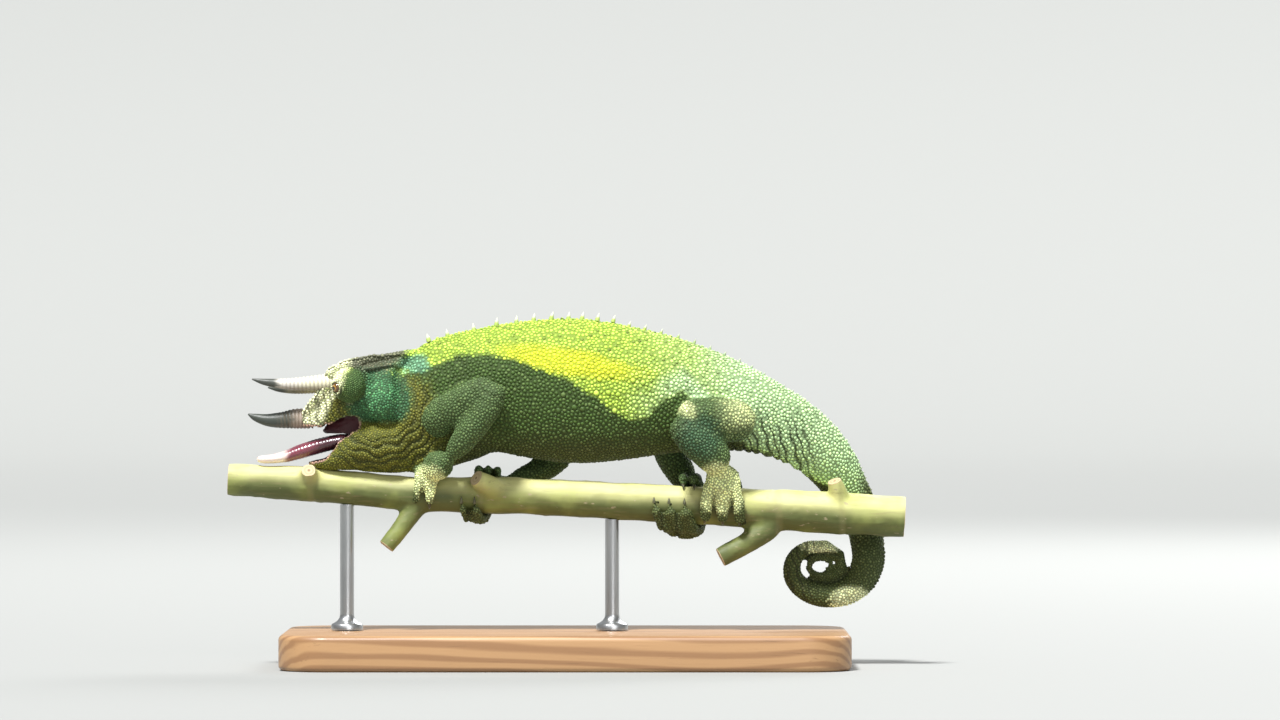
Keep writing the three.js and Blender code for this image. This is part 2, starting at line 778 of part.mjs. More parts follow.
/** Stations bent round the branch between two angles and pressed a little against its bark. */
function bentStations({ x, shift = 0, from, to, thickness, width = thickness, steps }) {
  return Array.from({ length: steps + 1 }, (_, i) => {
    const share = i / steps;
    const angle = THREE.MathUtils.degToRad(THREE.MathUtils.lerp(from, to, share));
    const thick = THREE.MathUtils.lerp(...thickness, share);
    const at = x + shift * share;
    const distance = branchRadius(at) + GAP + thick * TOE_PRESS;
    return [
      at,
      -Math.cos(angle) * distance,
      branchHeight(at) + Math.sin(angle) * distance,
      THREE.MathUtils.lerp(...width, share),
      thick,
    ];
  });
}

/** A bundle of toes round the branch: joined at first, then apart, each with a claw. */
function toeBundle({ x, root, palm, toe }, { toes, end, shift, spread }, grow) {
  const half = ((toes - 1) * spread) / 2 + toe.root * MITT.edge;
  const joined = THREE.MathUtils.lerp(root, end, TOES_JOINED);
  const mitt = {
    x,
    shift: shift * TOES_JOINED,
    from: root,
    to: joined,
    thickness: [palm * MITT.thickness, toe.root],
    width: [palm * MITT.width, half],
    steps: 3,
  };
  const options = { sides: 9, side: ALONG_BRANCH };
  const pieces = [new Form(bentStations(mitt), options).solid({ rows: 3, grow, roundTo: toe.root })];
  const clawTurn = THREE.MathUtils.radToDeg(toe.clawLength / branchRadius(x)) * Math.sign(end - root);
  for (let i = 0; i < toes; i += 1) {
    const aside = (i - (toes - 1) / 2) * spread;
    const startX = x + shift * TOES_APART + aside * TOE_SPLAY.root;
    const endX = x + shift + aside * TOE_SPLAY.tip;
    const apart = {
      x: startX,
      shift: endX - startX,
      from: THREE.MathUtils.lerp(root, end, TOES_APART),
      to: end,
      thickness: [toe.root * TOE_PRESS, toe.tip],
      steps: 3,
    };
    const claw = {
      x: endX,
      from: end + clawTurn * CLAW.from,
      to: end + clawTurn * CLAW.to,
      thickness: [toe.clawRadius, toe.clawRadius * CLAW.point],
      steps: 2,
    };
    const toeForm = new Form(bentStations(apart), { sides: 7, side: ALONG_BRANCH });
    const clawForm = new Form(bentStations(claw), { sides: 4, side: ALONG_BRANCH });
    pieces.push(toeForm.solid({ rows: 3, grow, roundTo: toe.tip }), clawForm.solid({ rows: 2, grow }));
  }
  return join(...pieces);
}

function foot(name, grow = 0) {
  const { ankle, x, root, palm, bundles } = FEET[name];
  const thickness = [palm * PALM.hold, palm * PALM.hold];
  const [hold] = bentStations({ x, from: root, to: root, thickness, steps: 1 });
  const palmStations = [
    [...ankle, palm * PALM.ankle],
    [...ankle.map((value, i) => (value + hold[i]) / 2), palm],
    [...hold.slice(0, 3), palm * PALM.bark],
  ];
  const { heel: roundFrom, sole: roundTo } = ROUNDING;
  const flesh = new Form(palmStations, { sides: 10 }).solid({ rows: 4, grow, roundFrom, roundTo });
  return join(flesh, ...bundles.map((bundle) => toeBundle(FEET[name], bundle, grow)));
}

// ---------------------------------------------------------------- the whole model

const model = new THREE.Group();

function addPart(name, solid, colour, roughness = 0.8, metalness = 0) {
  const mesh = largest(solid).getMesh();
  const geometry = new THREE.BufferGeometry();
  geometry.setAttribute("position", new THREE.BufferAttribute(new Float32Array(mesh.vertProperties), 3));
  geometry.setIndex(Array.from(mesh.triVerts));
  geometry.computeVertexNormals();
  const material = new THREE.MeshStandardMaterial({ color: colour, roughness, metalness });
  const part = new THREE.Mesh(geometry, material);
  part.name = name;
  model.add(part);
}

const grownBranch = branch(GAP);
const neckAndBack = trunkLength({ from: SPLIT.nape, to: SPLIT.bend, rows: 36, grow: GAP });

function addStand() {
  addPart("perch_branch", branch(), COLOURS.bark);
  addPart("stand_base", standBase(), COLOURS.wood, 0.5);
  addPart("stand_rod_front", standRod(ROD.frontX, grownBranch), COLOURS.steel, 0.35, 1);
  addPart("stand_rod_rear", standRod(ROD.rearX, grownBranch), COLOURS.steel, 0.35, 1);
}

function addTrunk() {
  const grownFeet = Object.keys(FEET).map((name) => foot(name, GAP));
  const lengths = [
    ["neck", SPLIT.nape, SPLIT.shoulder, 5, 20, COLOURS.throat],
    ["torso", SPLIT.shoulder, SPLIT.rump, 16, 20, COLOURS.back],
    ["tail_base", SPLIT.rump, SPLIT.bend, 6, 16, COLOURS.back],
    ["tail_bend", SPLIT.bend, SPLIT.coil, 7, 14, COLOURS.flank],
    ["tail_coil_outer", SPLIT.coil, SPLIT.inner, 18, 12, COLOURS.flank],
  ];
  for (const [name, from, to, rows, sides, colour] of lengths) {
    const flesh = withSpines(trunkLength({ from, to, rows, sides }), from, to);
    addPart(name, cut(flesh, grownBranch, ...grownFeet), colour);
  }
  const { tailTip: roundTo } = ROUNDING;
  const tip = trunkLength({ from: SPLIT.inner, to: trunk.last, rows: 20, sides: 10, roundTo });
  addPart("tail_coil_tip", tip, COLOURS.flank);
}

function addHead() {
  const hollow = mouthHollow();
  const turrets = [LEFT, RIGHT].map((side) => eyeTurret(side, GAP));
  const rims = [LEFT, RIGHT].map((side) => eyeRim(side));
  const upper = cut(join(skull(), ...rims), neckAndBack, hollow, ...turrets, nostril(LEFT), nostril(RIGHT));
  addPart("head", join(upper, cut(gapeWeb(), tongue(GAP))), COLOURS.head);
  const jaw = cut(lowerJaw(), behindHead(), skull(GAP), gapeWeb(GAP), hollow, tongue(GAP), grownBranch);
  addPart("lower_jaw", jaw, COLOURS.throat);
  addPart("tongue", cut(tongue(), grownBranch), COLOURS.tongue, 0.3);
  addPart("horn_nose", cut(horn(NOSE_HORN), skull(GAP)), COLOURS.horn, 0.5);
  for (const [side, word] of [[LEFT, "left"], [RIGHT, "right"]]) {
    const brow = cut(browHorn(side), skull(GAP), eyeTurret(side, GAP));
    addPart(`horn_brow_${word}`, brow, COLOURS.horn, 0.5);
    addPart(`eye_turret_${word}`, cut(eyeTurret(side), eyeball(side, GAP)), COLOURS.head);
    addPart(`eyeball_${word}`, eyeball(side), COLOURS.eye, 0.1);
  }
}

function addLimbs() {
  const limbs = [
    ["upper_arm_left", "forearm_left", "front_foot_left"],
    ["upper_arm_right", "forearm_right", "front_foot_right"],
    ["thigh_left", "shin_left", "hind_foot_left"],
    ["thigh_right", "shin_right", "hind_foot_right"],
  ];
  for (const [upper, lower, end] of limbs) {
    addPart(upper, cut(limb(upper), neckAndBack), COLOURS.limb);
    addPart(lower, cut(limb(lower), neckAndBack, limb(upper, GAP), foot(end, GAP)), COLOURS.limb);
    addPart(end, cut(foot(end), grownBranch), COLOURS.limb);
  }
}

addStand();
addTrunk();
addHead();
addLimbs();

export default model;
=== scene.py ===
# %% [markdown]
# # A Jackson's three-horned chameleon on a cut branch
#
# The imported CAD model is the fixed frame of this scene: every piece made here goes where the
# frame already has it, in metres, and stays inside its box. The animal faces -X, its left side
# is at -Y and the floor is at Z = 0. One skin replaces all the nodes of flesh, a coat of small
# solid scales lies on it, and horns, claws, spines, eyes and tongue are pieces of their own.

# %% Load the frame and keep its box
import math
from functools import partialmethod

import bpy
import numpy as np
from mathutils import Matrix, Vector
from mathutils.bvhtree import BVHTree
from mathutils.kdtree import KDTree


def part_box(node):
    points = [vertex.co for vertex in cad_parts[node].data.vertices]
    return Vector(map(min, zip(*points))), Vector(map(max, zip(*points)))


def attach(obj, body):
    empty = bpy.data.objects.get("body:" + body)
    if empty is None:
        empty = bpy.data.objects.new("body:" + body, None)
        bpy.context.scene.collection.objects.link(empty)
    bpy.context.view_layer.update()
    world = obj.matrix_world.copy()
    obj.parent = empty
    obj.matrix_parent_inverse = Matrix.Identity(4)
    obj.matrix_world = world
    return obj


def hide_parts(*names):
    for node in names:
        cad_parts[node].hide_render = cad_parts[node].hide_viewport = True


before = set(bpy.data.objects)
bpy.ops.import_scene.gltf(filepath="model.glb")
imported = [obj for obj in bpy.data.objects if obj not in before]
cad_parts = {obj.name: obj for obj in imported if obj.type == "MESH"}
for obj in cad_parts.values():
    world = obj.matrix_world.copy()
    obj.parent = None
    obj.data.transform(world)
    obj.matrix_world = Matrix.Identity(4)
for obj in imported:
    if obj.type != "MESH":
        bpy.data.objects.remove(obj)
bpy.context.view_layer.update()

MM = 0.001
LEFT, RIGHT = -1, 1
BOTH_SIDES = ((LEFT, "left"), (RIGHT, "right"))
print("nodes in the frame:", len(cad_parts))

# %% [markdown]
# ## The camera
#
# A small animal is taken from far off with a long lens, which flattens it: the near and the far
# legs come out the same size. The camera looks level along +Y at the animal's left side. It
# could also be aimed with a Track To constraint, but a level camera needs only one turn.

# %% Camera
FRAME_WIDTH = 0.3622  # metres of the animal's plane that the picture shows
LENS = 200
SENSOR = 36
CENTRE_X = 0.0209
CENTRE_Z = 0.0866

distance = FRAME_WIDTH * LENS / SENSOR
bpy.ops.object.camera_add(location=(CENTRE_X, -distance, CENTRE_Z), rotation=(math.pi / 2, 0, 0))
camera = bpy.context.object
camera.data.lens = LENS
camera.data.sensor_width = SENSOR
camera.data.clip_start = 0.05
camera.data.clip_end = 50
bpy.context.scene.camera = camera
print(f"camera {distance:.2f} m from the animal")

# %% [markdown]
# ## Small tools
#
# Operators act on whatever is selected, and the frame arrives selected, so each piece starts by
# selecting nothing. Modifiers are applied as soon as they are set, so that later steps can move
# single points of the finished mesh.

# %% Selecting, applying and placing
def select_only(*pieces):
    bpy.ops.object.select_all(action="DESELECT")
    for piece in pieces:
        piece.select_set(True)
    bpy.context.view_layer.objects.active = pieces[0] if pieces else None


def apply_modifier(piece, kind, **settings):
    """Adds a modifier with its settings and applies it at once."""
    select_only(piece)
    bpy.ops.object.modifier_add(type=kind)
    modifier = piece.modifiers[-1]
    for name, value in settings.items():
        setattr(modifier, name, value)
    bpy.ops.object.modifier_apply(modifier=modifier.name)


def edit(piece, mode="VERT"):
    """Opens a piece in edit mode with all of it selected."""
    select_only(piece)
    bpy.ops.object.mode_set(mode="EDIT")
    bpy.ops.mesh.select_mode(type=mode)
    bpy.ops.mesh.select_all(action="SELECT")


def close_edit():
    bpy.ops.object.mode_set(mode="OBJECT")


def pick(piece, kind, test):
    """Opens a piece in edit mode with only those of its "vertices", "edges" or "polygons" picked
    that pass the test."""
    edit(piece, {"vertices": "VERT", "edges": "EDGE", "polygons": "FACE"}[kind])
    bpy.ops.mesh.select_all(action="DESELECT")
    close_edit()
    for item in getattr(piece.data, kind):
        item.select = test(item)
    bpy.ops.object.mode_set(mode="EDIT")


def remesh(piece, voxel):
    """Fuses a piece into one sheet of squares about this many millimetres wide."""
    apply_modifier(piece, "REMESH", mode="VOXEL", voxel_size=voxel * MM, adaptivity=0)


def smooth(piece, rounds, group=""):
    apply_modifier(piece, "SMOOTH", factor=0.5, iterations=rounds, vertex_group=group)


def shade(piece, angle=None):
    """Shades a piece smooth, and keeps edges sharper than an angle in degrees when one is given."""
    select_only(piece)
    if angle:
        bpy.ops.object.shade_smooth_by_angle(angle=math.radians(angle))
    else:
        bpy.ops.object.shade_smooth()


def own_copy(piece):
    """A copy of a piece with a mesh of its own."""
    copy = piece.copy()
    copy.data = piece.data.copy()
    bpy.context.scene.collection.objects.link(copy)
    return copy


def apply_place(piece):
    """Puts the object at the origin, unturned and unscaled, with its place in its mesh."""
    select_only(piece)
    bpy.ops.object.transform_apply(location=True, rotation=True, scale=True)


def merged_copy(name, nodes):
    """One object from copies of CAD nodes, whose loose triangles are merged into closed shells."""
    copies = []
    for node in nodes:
        copy = own_copy(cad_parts[node])
        copy.parent = None
        for key in list(copy.keys()):
            del copy[key]
        copies.append(copy)
    select_only(*copies)
    if len(copies) > 1:
        bpy.ops.object.join()
    piece = bpy.context.view_layer.objects.active
    piece.name = name
    piece.data.name = name
    edit(piece)
    bpy.ops.mesh.remove_doubles(threshold=0.00002)
    close_edit()
    piece.data.materials.clear()
    return piece


def only_largest(piece):
    """Drops the small loose shells of a piece."""
    edit(piece)
    bpy.ops.mesh.separate(type="LOOSE")
    close_edit()
    shells = sorted(bpy.context.selected_objects, key=lambda shell: len(shell.data.vertices))
    for shell in shells[:-1]:
        bpy.data.objects.remove(shell)
    return shells[-1]


def points_of(piece):
    """The piece's points as rows of X, Y and Z in millimetres."""
    flat = np.empty(len(piece.data.vertices) * 3)
    piece.data.vertices.foreach_get("co", flat)
    return flat.reshape(-1, 3) / MM


def normals_of(piece):
    flat = np.empty(len(piece.data.vertices) * 3)
    piece.data.vertex_normals.foreach_get("vector", flat)
    return flat.reshape(-1, 3)


def move_points(piece, points):
    piece.data.vertices.foreach_set("co", (points * MM).ravel())
    piece.data.update()


def smoothstep(values, low, high):
    """0 below low, 1 above high and smooth between."""
    t = np.clip((values - low) / (high - low), 0, 1)
    return t * t * (3 - 2 * t)


def window(values, low, full, fade, end):
    """1 between full and fade, falling to 0 at low and at end."""
    return smoothstep(values, low, full) * (1 - smoothstep(values, fade, end))


def bell(values, width):
    """1 where the values are 0, falling off on both sides within about two widths."""
    return np.exp(-((values / width) ** 2))


def finish_piece(piece, finish, replaces=()):
    """Gives a piece its material and its body, and hides the CAD nodes it stands for."""
    piece.data.materials.clear()
    piece.data.materials.append(finish)
    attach(piece, "root")
    if replaces:
        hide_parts(*replaces)
    triangles = sum(len(polygon.vertices) - 2 for polygon in piece.data.polygons)
    print(f"{piece.name}: {triangles} triangles")
    return piece


# %% [markdown]
# ## Writing materials as sums
#
# A material is a net of nodes. Wiring them by hand hides the idea, so a socket is wrapped in a
# small class: adding or multiplying two of them adds the Math node that does it. Colours go
# through Mix nodes, because a Math node would turn them grey.

# %% Socket and Finish
class Socket:
    """An output of a node that can be used in sums."""

    def __init__(self, finish, link):
        self.finish = finish
        self.link = link

    def combine(self, operation, *others):
        return self.finish.node("Math", {"operation": operation}, dict(enumerate((self, *others))))

    def __rsub__(self, other):
        return self.finish.node("Math", {"operation": "SUBTRACT"}, {0: other, 1: self})

    __add__ = __radd__ = partialmethod(combine, "ADD")
    __sub__ = partialmethod(combine, "SUBTRACT")
    __mul__ = __rmul__ = partialmethod(combine, "MULTIPLY")
    __truediv__ = partialmethod(combine, "DIVIDE")
    __pow__ = partialmethod(combine, "POWER")
    most = partialmethod(combine, "MAXIMUM")
    absolute = partialmethod(combine, "ABSOLUTE")
    sine = partialmethod(combine, "SINE")

    def step(self, low, high):
        """0 below low, 1 above high and smooth between; low above high turns it round."""
        sockets = {"Value": self, "From Min": low, "From Max": high}
        return self.finish.node("MapRange", {"interpolation_type": "SMOOTHSTEP"}, sockets)


class Finish:
    """A material in the making. Numbers that are the same all over go straight on the shader."""

    def __init__(self, name, **constants):
        self.material = bpy.data.materials.new(name)
        self.material.use_nodes = True
        self.tree = self.material.node_tree
        self.shader = self.tree.nodes["Principled BSDF"]
        for socket, value in constants.items():
            self.shader.inputs[socket.replace("_", " ")].default_value = value

    def node(self, kind, settings=None, sockets=None, output=0):
        """Adds a node: its settings first, then the values or links of its sockets."""
        made = self.tree.nodes.new("ShaderNode" + kind)
        for name, value in (settings or {}).items():
            if name == "stops":
                ramp = made.color_ramp
                while len(ramp.elements) < len(value):
                    ramp.elements.new(0.5)
                for element, (position, colour) in zip(ramp.elements, value):
                    element.position = position
                    element.color = colour if len(colour) == 4 else (*colour, 1)
            else:
                setattr(made, name, value)
        for key, value in (sockets or {}).items():
            self.feed(made.inputs[key], value)
        return Socket(self, made.outputs[output])

    def feed(self, socket, value):
        if isinstance(value, Socket):
            self.tree.links.new(value.link, socket)
        elif isinstance(value, tuple) and len(value) == 3 and socket.type == "RGBA":
            socket.default_value = (*value, 1)
        else:
            socket.default_value = value

    def set(self, **sockets):
        for name, value in sockets.items():
            self.feed(self.shader.inputs[name.replace("_", " ")], value)

    def place(self):
        """The point on the object, and its X, Y and Z in millimetres."""
        spot = self.node("TexCoord", output="Object")
        axes = [self.node("SeparateXYZ", {}, {0: spot}, output=i) * (1 / MM) for i in range(3)]
        return spot, axes

    def number(self, name):
        """A number that the mesh carries on each of its points."""
        return self.node("Attribute", {"attribute_name": name}, output="Fac")

    def mix(self, first, second, share, how="MIX"):
        settings = {"data_type": "RGBA", "blend_type": how}
        return self.node("Mix", settings, {0: share, 6: first, 7: second}, output=2)

    def paint(self, colour, *layers):
        """Lays colours over one another, each with the share that it covers."""
        for over, share in layers:
            colour = self.mix(colour, over, share)
        return colour

    def noise(self, spot, size, detail=2.0, roughness=0.5, scale=None):
        """Noise from 0 to 1 in clouds about this many millimetres across, which a small scale along
        an axis draws out."""
        if scale:
            spot = self.node("Mapping", {}, {"Vector": spot, "Scale": scale})
        sockets = {"Vector": spot, "Scale": 1 / (size * MM), "Detail": detail, "Roughness": roughness}
        return self.node("TexNoise", {}, sockets)

    def vector(self, operation, *values, output="Value"):
        return self.node("VectorMath", {"operation": operation}, dict(enumerate(values)), output=output)

    def bump(self, height, depth, strength):
        """Raises the surface by up to a depth in millimetres."""
        return self.node("Bump", {}, {"Height": height, "Distance": depth * MM, "Strength": strength})


print("materials are written as sums of sockets")

# %% [markdown]
# ## The skin
#
# The frame has the animal's flesh as 22 solids with hairline gaps, so that each can be named. A
# real animal has one skin. It could be sculpted anew, but remeshing copies of the solids into one
# sheet of tiny squares keeps every proportion: a voxel a little wider than the gaps closes them,
# and a Smooth modifier takes the facets away. Broad forms are smoothed more than the face and the
# toes.

# %% Fuse the flesh into one skin
HEAD_NODES = ["head", "lower_jaw", "eye_turret_left", "eye_turret_right"]
TRUNK_NODES = ["neck", "torso", "tail_base", "tail_bend", "tail_coil_outer", "tail_coil_tip"]
FRONT_LEG_NODES, HIND_LEG_NODES = (
    [f"{part}_{side}" for side in ("left", "right") for part in parts]
    for parts in (("upper_arm", "forearm", "front_foot"), ("thigh", "shin", "hind_foot"))
)
FLESH = HEAD_NODES + TRUNK_NODES + FRONT_LEG_NODES + HIND_LEG_NODES
VOXEL = 0.58  # millimetres, wider than the 0.3 mm gaps between the solids

flesh_guides = {node: merged_copy(f"guide_{node}", [node]) for node in FLESH}
skin = merged_copy("skin", FLESH + ["eyeball_left", "eyeball_right"])
ANKLES = [(-33.4, -11, 58.4), (-17.4, 9.8, 51.3), (44.6, -8.8, 54.8), (35.4, 10.2, 50.2)]
ANKLE_BALL = 2.5
balls = []
for place in ANKLES:  # a ball in each ankle closes the gap there for certain
    select_only()
    bpy.ops.mesh.primitive_uv_sphere_add(
        segments=16, ring_count=8, radius=ANKLE_BALL * MM, location=Vector(place) * MM
    )
    balls.append(bpy.context.object)
select_only(skin, *balls)
bpy.ops.object.join()
remesh(skin, VOXEL)
skin = only_largest(skin)
print("skin before smoothing:", len(skin.data.vertices), "points")

# %% [markdown]
# Each point of the skin remembers which solid it came from. That number steers how much it is
# smoothed, how large its scales are and which colours it takes, so it is worked out once.

# %% Which part each point of the skin belongs to
def nearest_part(points):
    """For each point, the place in FLESH of the solid whose surface is nearest."""
    best = np.full(len(points), np.inf)
    part = np.zeros(len(points), int)
    for number, node in enumerate(FLESH):
        low, high = (np.array(corner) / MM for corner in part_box(node))
        near = np.flatnonzero(np.all((points > low - 2) & (points < high + 2), axis=1))
        tree = BVHTree.FromObject(flesh_guides[node], bpy.context.evaluated_depsgraph_get())
        for i in near:
            hit = tree.find_nearest(points[i] * MM)
            if hit[3] is not None and hit[3] < best[i]:
                best[i] = hit[3]
                part[i] = number
    return part


skin_points = points_of(skin)
skin_part = nearest_part(skin_points)


def is_part(nodes):
    return np.isin(skin_part, [FLESH.index(node) for node in nodes])


edges = np.empty(len(skin.data.edges) * 2, int)
skin.data.edges.foreach_get("vertices", edges)
edges = edges.reshape(-1, 2)
edge_count = np.bincount(edges.ravel(), minlength=len(skin_points))


def blurred(values, rounds):
    """Spreads numbers on the skin's points to their neighbours, so that borders turn soft."""
    values = values.astype(float)
    for _ in range(rounds):
        total = np.bincount(edges[:, 0], values[edges[:, 1]], len(values))
        total += np.bincount(edges[:, 1], values[edges[:, 0]], len(values))
        values = (values + total / edge_count) / 2
    return values


print("points per part:", dict(zip(FLESH, np.bincount(skin_part, minlength=len(FLESH)).tolist())))

# %% [markdown]
# The solids carry coarse cones for the crest and the claws. Finer ones take their place later, at
# the same spots, so their tips are found here: a tip is a point where the angles of the faces
# around it add up to far less than a full turn. The skin is then pressed flat under each.

# %% Find the tips of the spines and claws, and flatten the skin under them
TIP_ANGLES = math.radians(165)


def tips_of(node, merge=0.02):
    """The places and directions of a solid's sharp tips, in millimetres."""
    guide = merged_copy("tip_guide", [node])
    edit(guide)
    bpy.ops.mesh.remove_doubles(threshold=merge * MM)
    close_edit()
    mesh = guide.data
    angles = np.zeros(len(mesh.vertices))
    along = np.zeros((len(mesh.vertices), 3))
    for face in mesh.polygons:
        corners = [mesh.vertices[i].co for i in face.vertices]
        for k, i in enumerate(face.vertices):
            before = corners[k - 1] - corners[k]
            after = corners[(k + 1) % len(corners)] - corners[k]
            angles[i] += before.angle(after, 0)
            along[i] += face.normal
    sharp = np.flatnonzero((angles < TIP_ANGLES) & (angles > 0))
    tips = [(np.array(mesh.vertices[i].co) / MM, along[i] / np.linalg.norm(along[i])) for i in sharp]
    bpy.data.objects.remove(guide)
    return tips


BRANCH = {"z": 47.5, "slope": -0.0553, "sag": 1.2, "sag_x": -43, "sag_reach": 18}
CLAW_REACH = 7  # millimetres from the branch's middle that no other tip of a foot comes within


def branch_height(at):
    sag = BRANCH["sag"] * bell(at - BRANCH["sag_x"], BRANCH["sag_reach"])
    return BRANCH["z"] + BRANCH["slope"] * at - sag


def from_branch(place):
    return math.hypot(place[1], place[2] - branch_height(place[0]))


FEET = [f"{end}_foot_{side}" for end in ("front", "hind") for side in ("left", "right")]
SPINED = ["neck", "torso", "tail_base", "tail_bend"]
crest_tips = [tip for node in SPINED for tip in tips_of(node)]
crest_tips.sort(key=lambda tip: tip[0][0] - tip[0][2])  # from the nape to the end of the tail
CREST_X = (8, 35, 60, 86)  # places along the back, for the heights of the spines
SOLID_SPINE = (2.1, 1.6, 1.0, 0.65)  # how tall the frame's spines are there
claw_tips = {node: tips_of(node, merge=0.3) for node in FEET}


def flatten(points, tip, along, length, radius):
    """Moves the points round a tip down to the plane that lies a length below it."""
    offset = points - tip
    height = offset @ along + length
    aside = np.linalg.norm(offset - np.outer(offset @ along, along), axis=1)
    inside = (aside < radius) & (height > 0) & (height < length + 1)
    points[inside] -= np.outer(height[inside], along)


skin_points = points_of(skin)
for tip, along in crest_tips:
    flatten(skin_points, tip, along, np.interp(tip[0], CREST_X, SOLID_SPINE) + 0.1, radius=1.2)
for tips in claw_tips.values():
    for tip, along in tips:
        flatten(skin_points, tip, along, length=2.2, radius=1.0)
move_points(skin, skin_points)
for node, tips in claw_tips.items():
    claw_tips[node] = [(tip, along) for tip, along in tips if from_branch(tip) < CLAW_REACH]
print("crest spines:", len(crest_tips), "claws:", {n: len(t) for n, t in claw_tips.items()})

# %% Smooth broad forms more than the face and toes
def add_group(piece, name, weights):
    group = piece.vertex_groups.new(name=name)
    for level in range(1, 11):
        members = np.flatnonzero(np.round(weights * 10) == level)
        group.add(members.tolist(), level / 10, "REPLACE")
    return name


NAPE_X = -48.0  # where the head's solids meet the neck's
COAT_DEPTH = 0.22  # millimetres that the scales stand on the skin

near_nape = bell(skin_points[:, 0] - NAPE_X, 4.5)
fine = is_part(HEAD_NODES + FEET + ["tail_coil_tip"])
broad = np.clip(blurred(~fine, 14) + near_nape, 0, 1)
smooth(skin, 40, add_group(skin, "broad", broad))
smooth(skin, 4)
move_points(skin, points_of(skin) - COAT_DEPTH * normals_of(skin))
print("skin smoothed")

# %% [markdown]
# ## Folds, lids and lips
#
# Smoothing leaves the large forms only. The folds that the solids are too coarse for are pressed
# into the skin point by point: each is a line with a width and a depth, and a point moves along
# its normal by how near it lies to the line. Sculpting would do the same by hand.

# %% A tool that presses or raises a line
def along_line(points, line):
    """The distance of each point to a line of places, and how far along the line it is nearest."""
    line = np.array(line, float)
    best = np.full(len(points), np.inf)
    share = np.zeros(len(points))
    for i, (start, end) in enumerate(zip(line, line[1:])):
        step = end - start
        t = np.clip((points - start) @ step / (step @ step), 0, 1)
        gap = np.linalg.norm(points - start - np.outer(t, step), axis=1)
        closer = gap < best
        best[closer] = gap[closer]
        share[closer] = (i + t[closer]) / (len(line) - 1)
    return best, share


def on_both_sides(line):
    return [[(x, y * side, z) for x, y, z in line] for side in (LEFT, RIGHT)]


def ridge(points, normals, line, height, width):
    """Raises the skin along a line that fades at both ends; a height below zero makes a groove."""
    gap, share = along_line(points, line)
    fade = np.sin(np.pi * np.clip(share, 0.02, 0.98)) ** 0.5
    points += normals * (height * fade * bell(gap, width))[:, None]


# %% Shape the face
EYE_CENTRE = np.array([-61.0, 8.0, 79.6])
EYE_AXIS = np.array([-0.74, 0.66, -0.16])
EYE_AXIS /= np.linalg.norm(EYE_AXIS)
MOUTH_CORNER = (-59.6, 7.2, 69.0)
SIDE_CREST = [
    (-68.2, 5.2, 82.4), (-63.6, 6.7, 85.4), (-58, 7.7, 86.9), (-52, 7, 87.9), (-46.4, 4.6, 88.9),
]
SNOUT_RIDGE = [(-66.5, 5.6, 81.0), (-70.3, 5.0, 76.4), (-74.6, 3.2, 71.6)]
MOUTH_LINE = [MOUTH_CORNER, (-56.5, 8.4, 69.6), (-53.6, 9.0, 69.5), (-51, 9.2, 68.8)]
LID_LINE = [
    (-58.6, 9.6, 86.0), (-56.0, 10.4, 84.0), (-54.9, 10.6, 80.6), (-55.6, 10.4, 77.0), (-58.2, 10, 74.2),
]
CHEEK_CENTRE = np.array([-52.8, 75.2])
TURRETS = ["eye_turret_left", "eye_turret_right"]


def eye_on(side):
    """The middle of a turret and the direction that it looks."""
    return EYE_CENTRE * (1, side, 1), EYE_AXIS * (1, side, 1)


skin_normals = normals_of(skin)
skin_points = points_of(skin)
for line, shift, height, width in (
    (LID_LINE, 0, 0.75, 0.75), (LID_LINE, -1.5, -0.45, 0.8), (LID_LINE, 1.6, -0.35, 0.8),
    (SIDE_CREST, 0, 0.4, 1.0), (SNOUT_RIDGE, 0, 0.4, 0.8), (MOUTH_LINE, 0, -0.8, 0.5),
):
    for one_side in on_both_sides(line):
        ridge(skin_points, skin_normals, [(x + shift, y, z) for x, y, z in one_side], height, width)
print("lids, side crests, snout ridges and lips drawn")

# %% Open the eyelids
LID_OPENING = 1.25
for side in (LEFT, RIGHT):
    middle, axis = eye_on(side)
    offset = skin_points - middle
    ahead = offset @ axis
    aside = np.linalg.norm(offset - np.outer(ahead, axis), axis=1)
    front = ahead > 1
    dip = -2.0 * (1 - smoothstep(aside, LID_OPENING - 0.3, LID_OPENING + 0.35))
    rim = 0.4 * bell(aside - LID_OPENING - 0.75, 0.4)
    folds = 0.07 * np.sin(aside * 5.6) * smoothstep(aside, 1.8, 2.6) * (1 - smoothstep(aside, 4.2, 5.2))
    skin_points += np.outer(np.where(front, dip + rim + folds, 0), axis)
print("eyelids open by", LID_OPENING, "mm on each side of the middle")

# %% Press the folds of the throat, neck, hips and tail
FOLD_PITCH = {"throat": 2.2, "hip": 2.4, "belly": 2.4, "shoulder": 2.6, "knee": 1.8}


def wave(phase):
    """A groove at each whole number of the phase, with a rounded fold between two grooves."""
    return -np.abs(np.cos(np.pi * phase)) ** 3


x, y, z = skin_points.T
sway = 0.5 * np.sin(x * 0.9 + z * 0.35) + 0.35 * np.sin(z * 1.1 - x * 0.4)
from_cheek = np.hypot(x - CHEEK_CENTRE[0], z - CHEEK_CENTRE[1])
throat_zone = window(from_cheek, 9.5, 12, 20, 24)
throat_zone *= 1 - smoothstep(z, 76, 82)
throat_zone *= window(x, -64, -58, -37, -33) * smoothstep(np.abs(y), 2, 5)
leg = blurred(is_part(FRONT_LEG_NODES + HIND_LEG_NODES), 4)
head = blurred(is_part(HEAD_NODES), 8)
trunk_only = np.clip(1 - 1.5 * leg, 0, 1)
throat_folds = wave((from_cheek + sway) / FOLD_PITCH["throat"]) * throat_zone * trunk_only

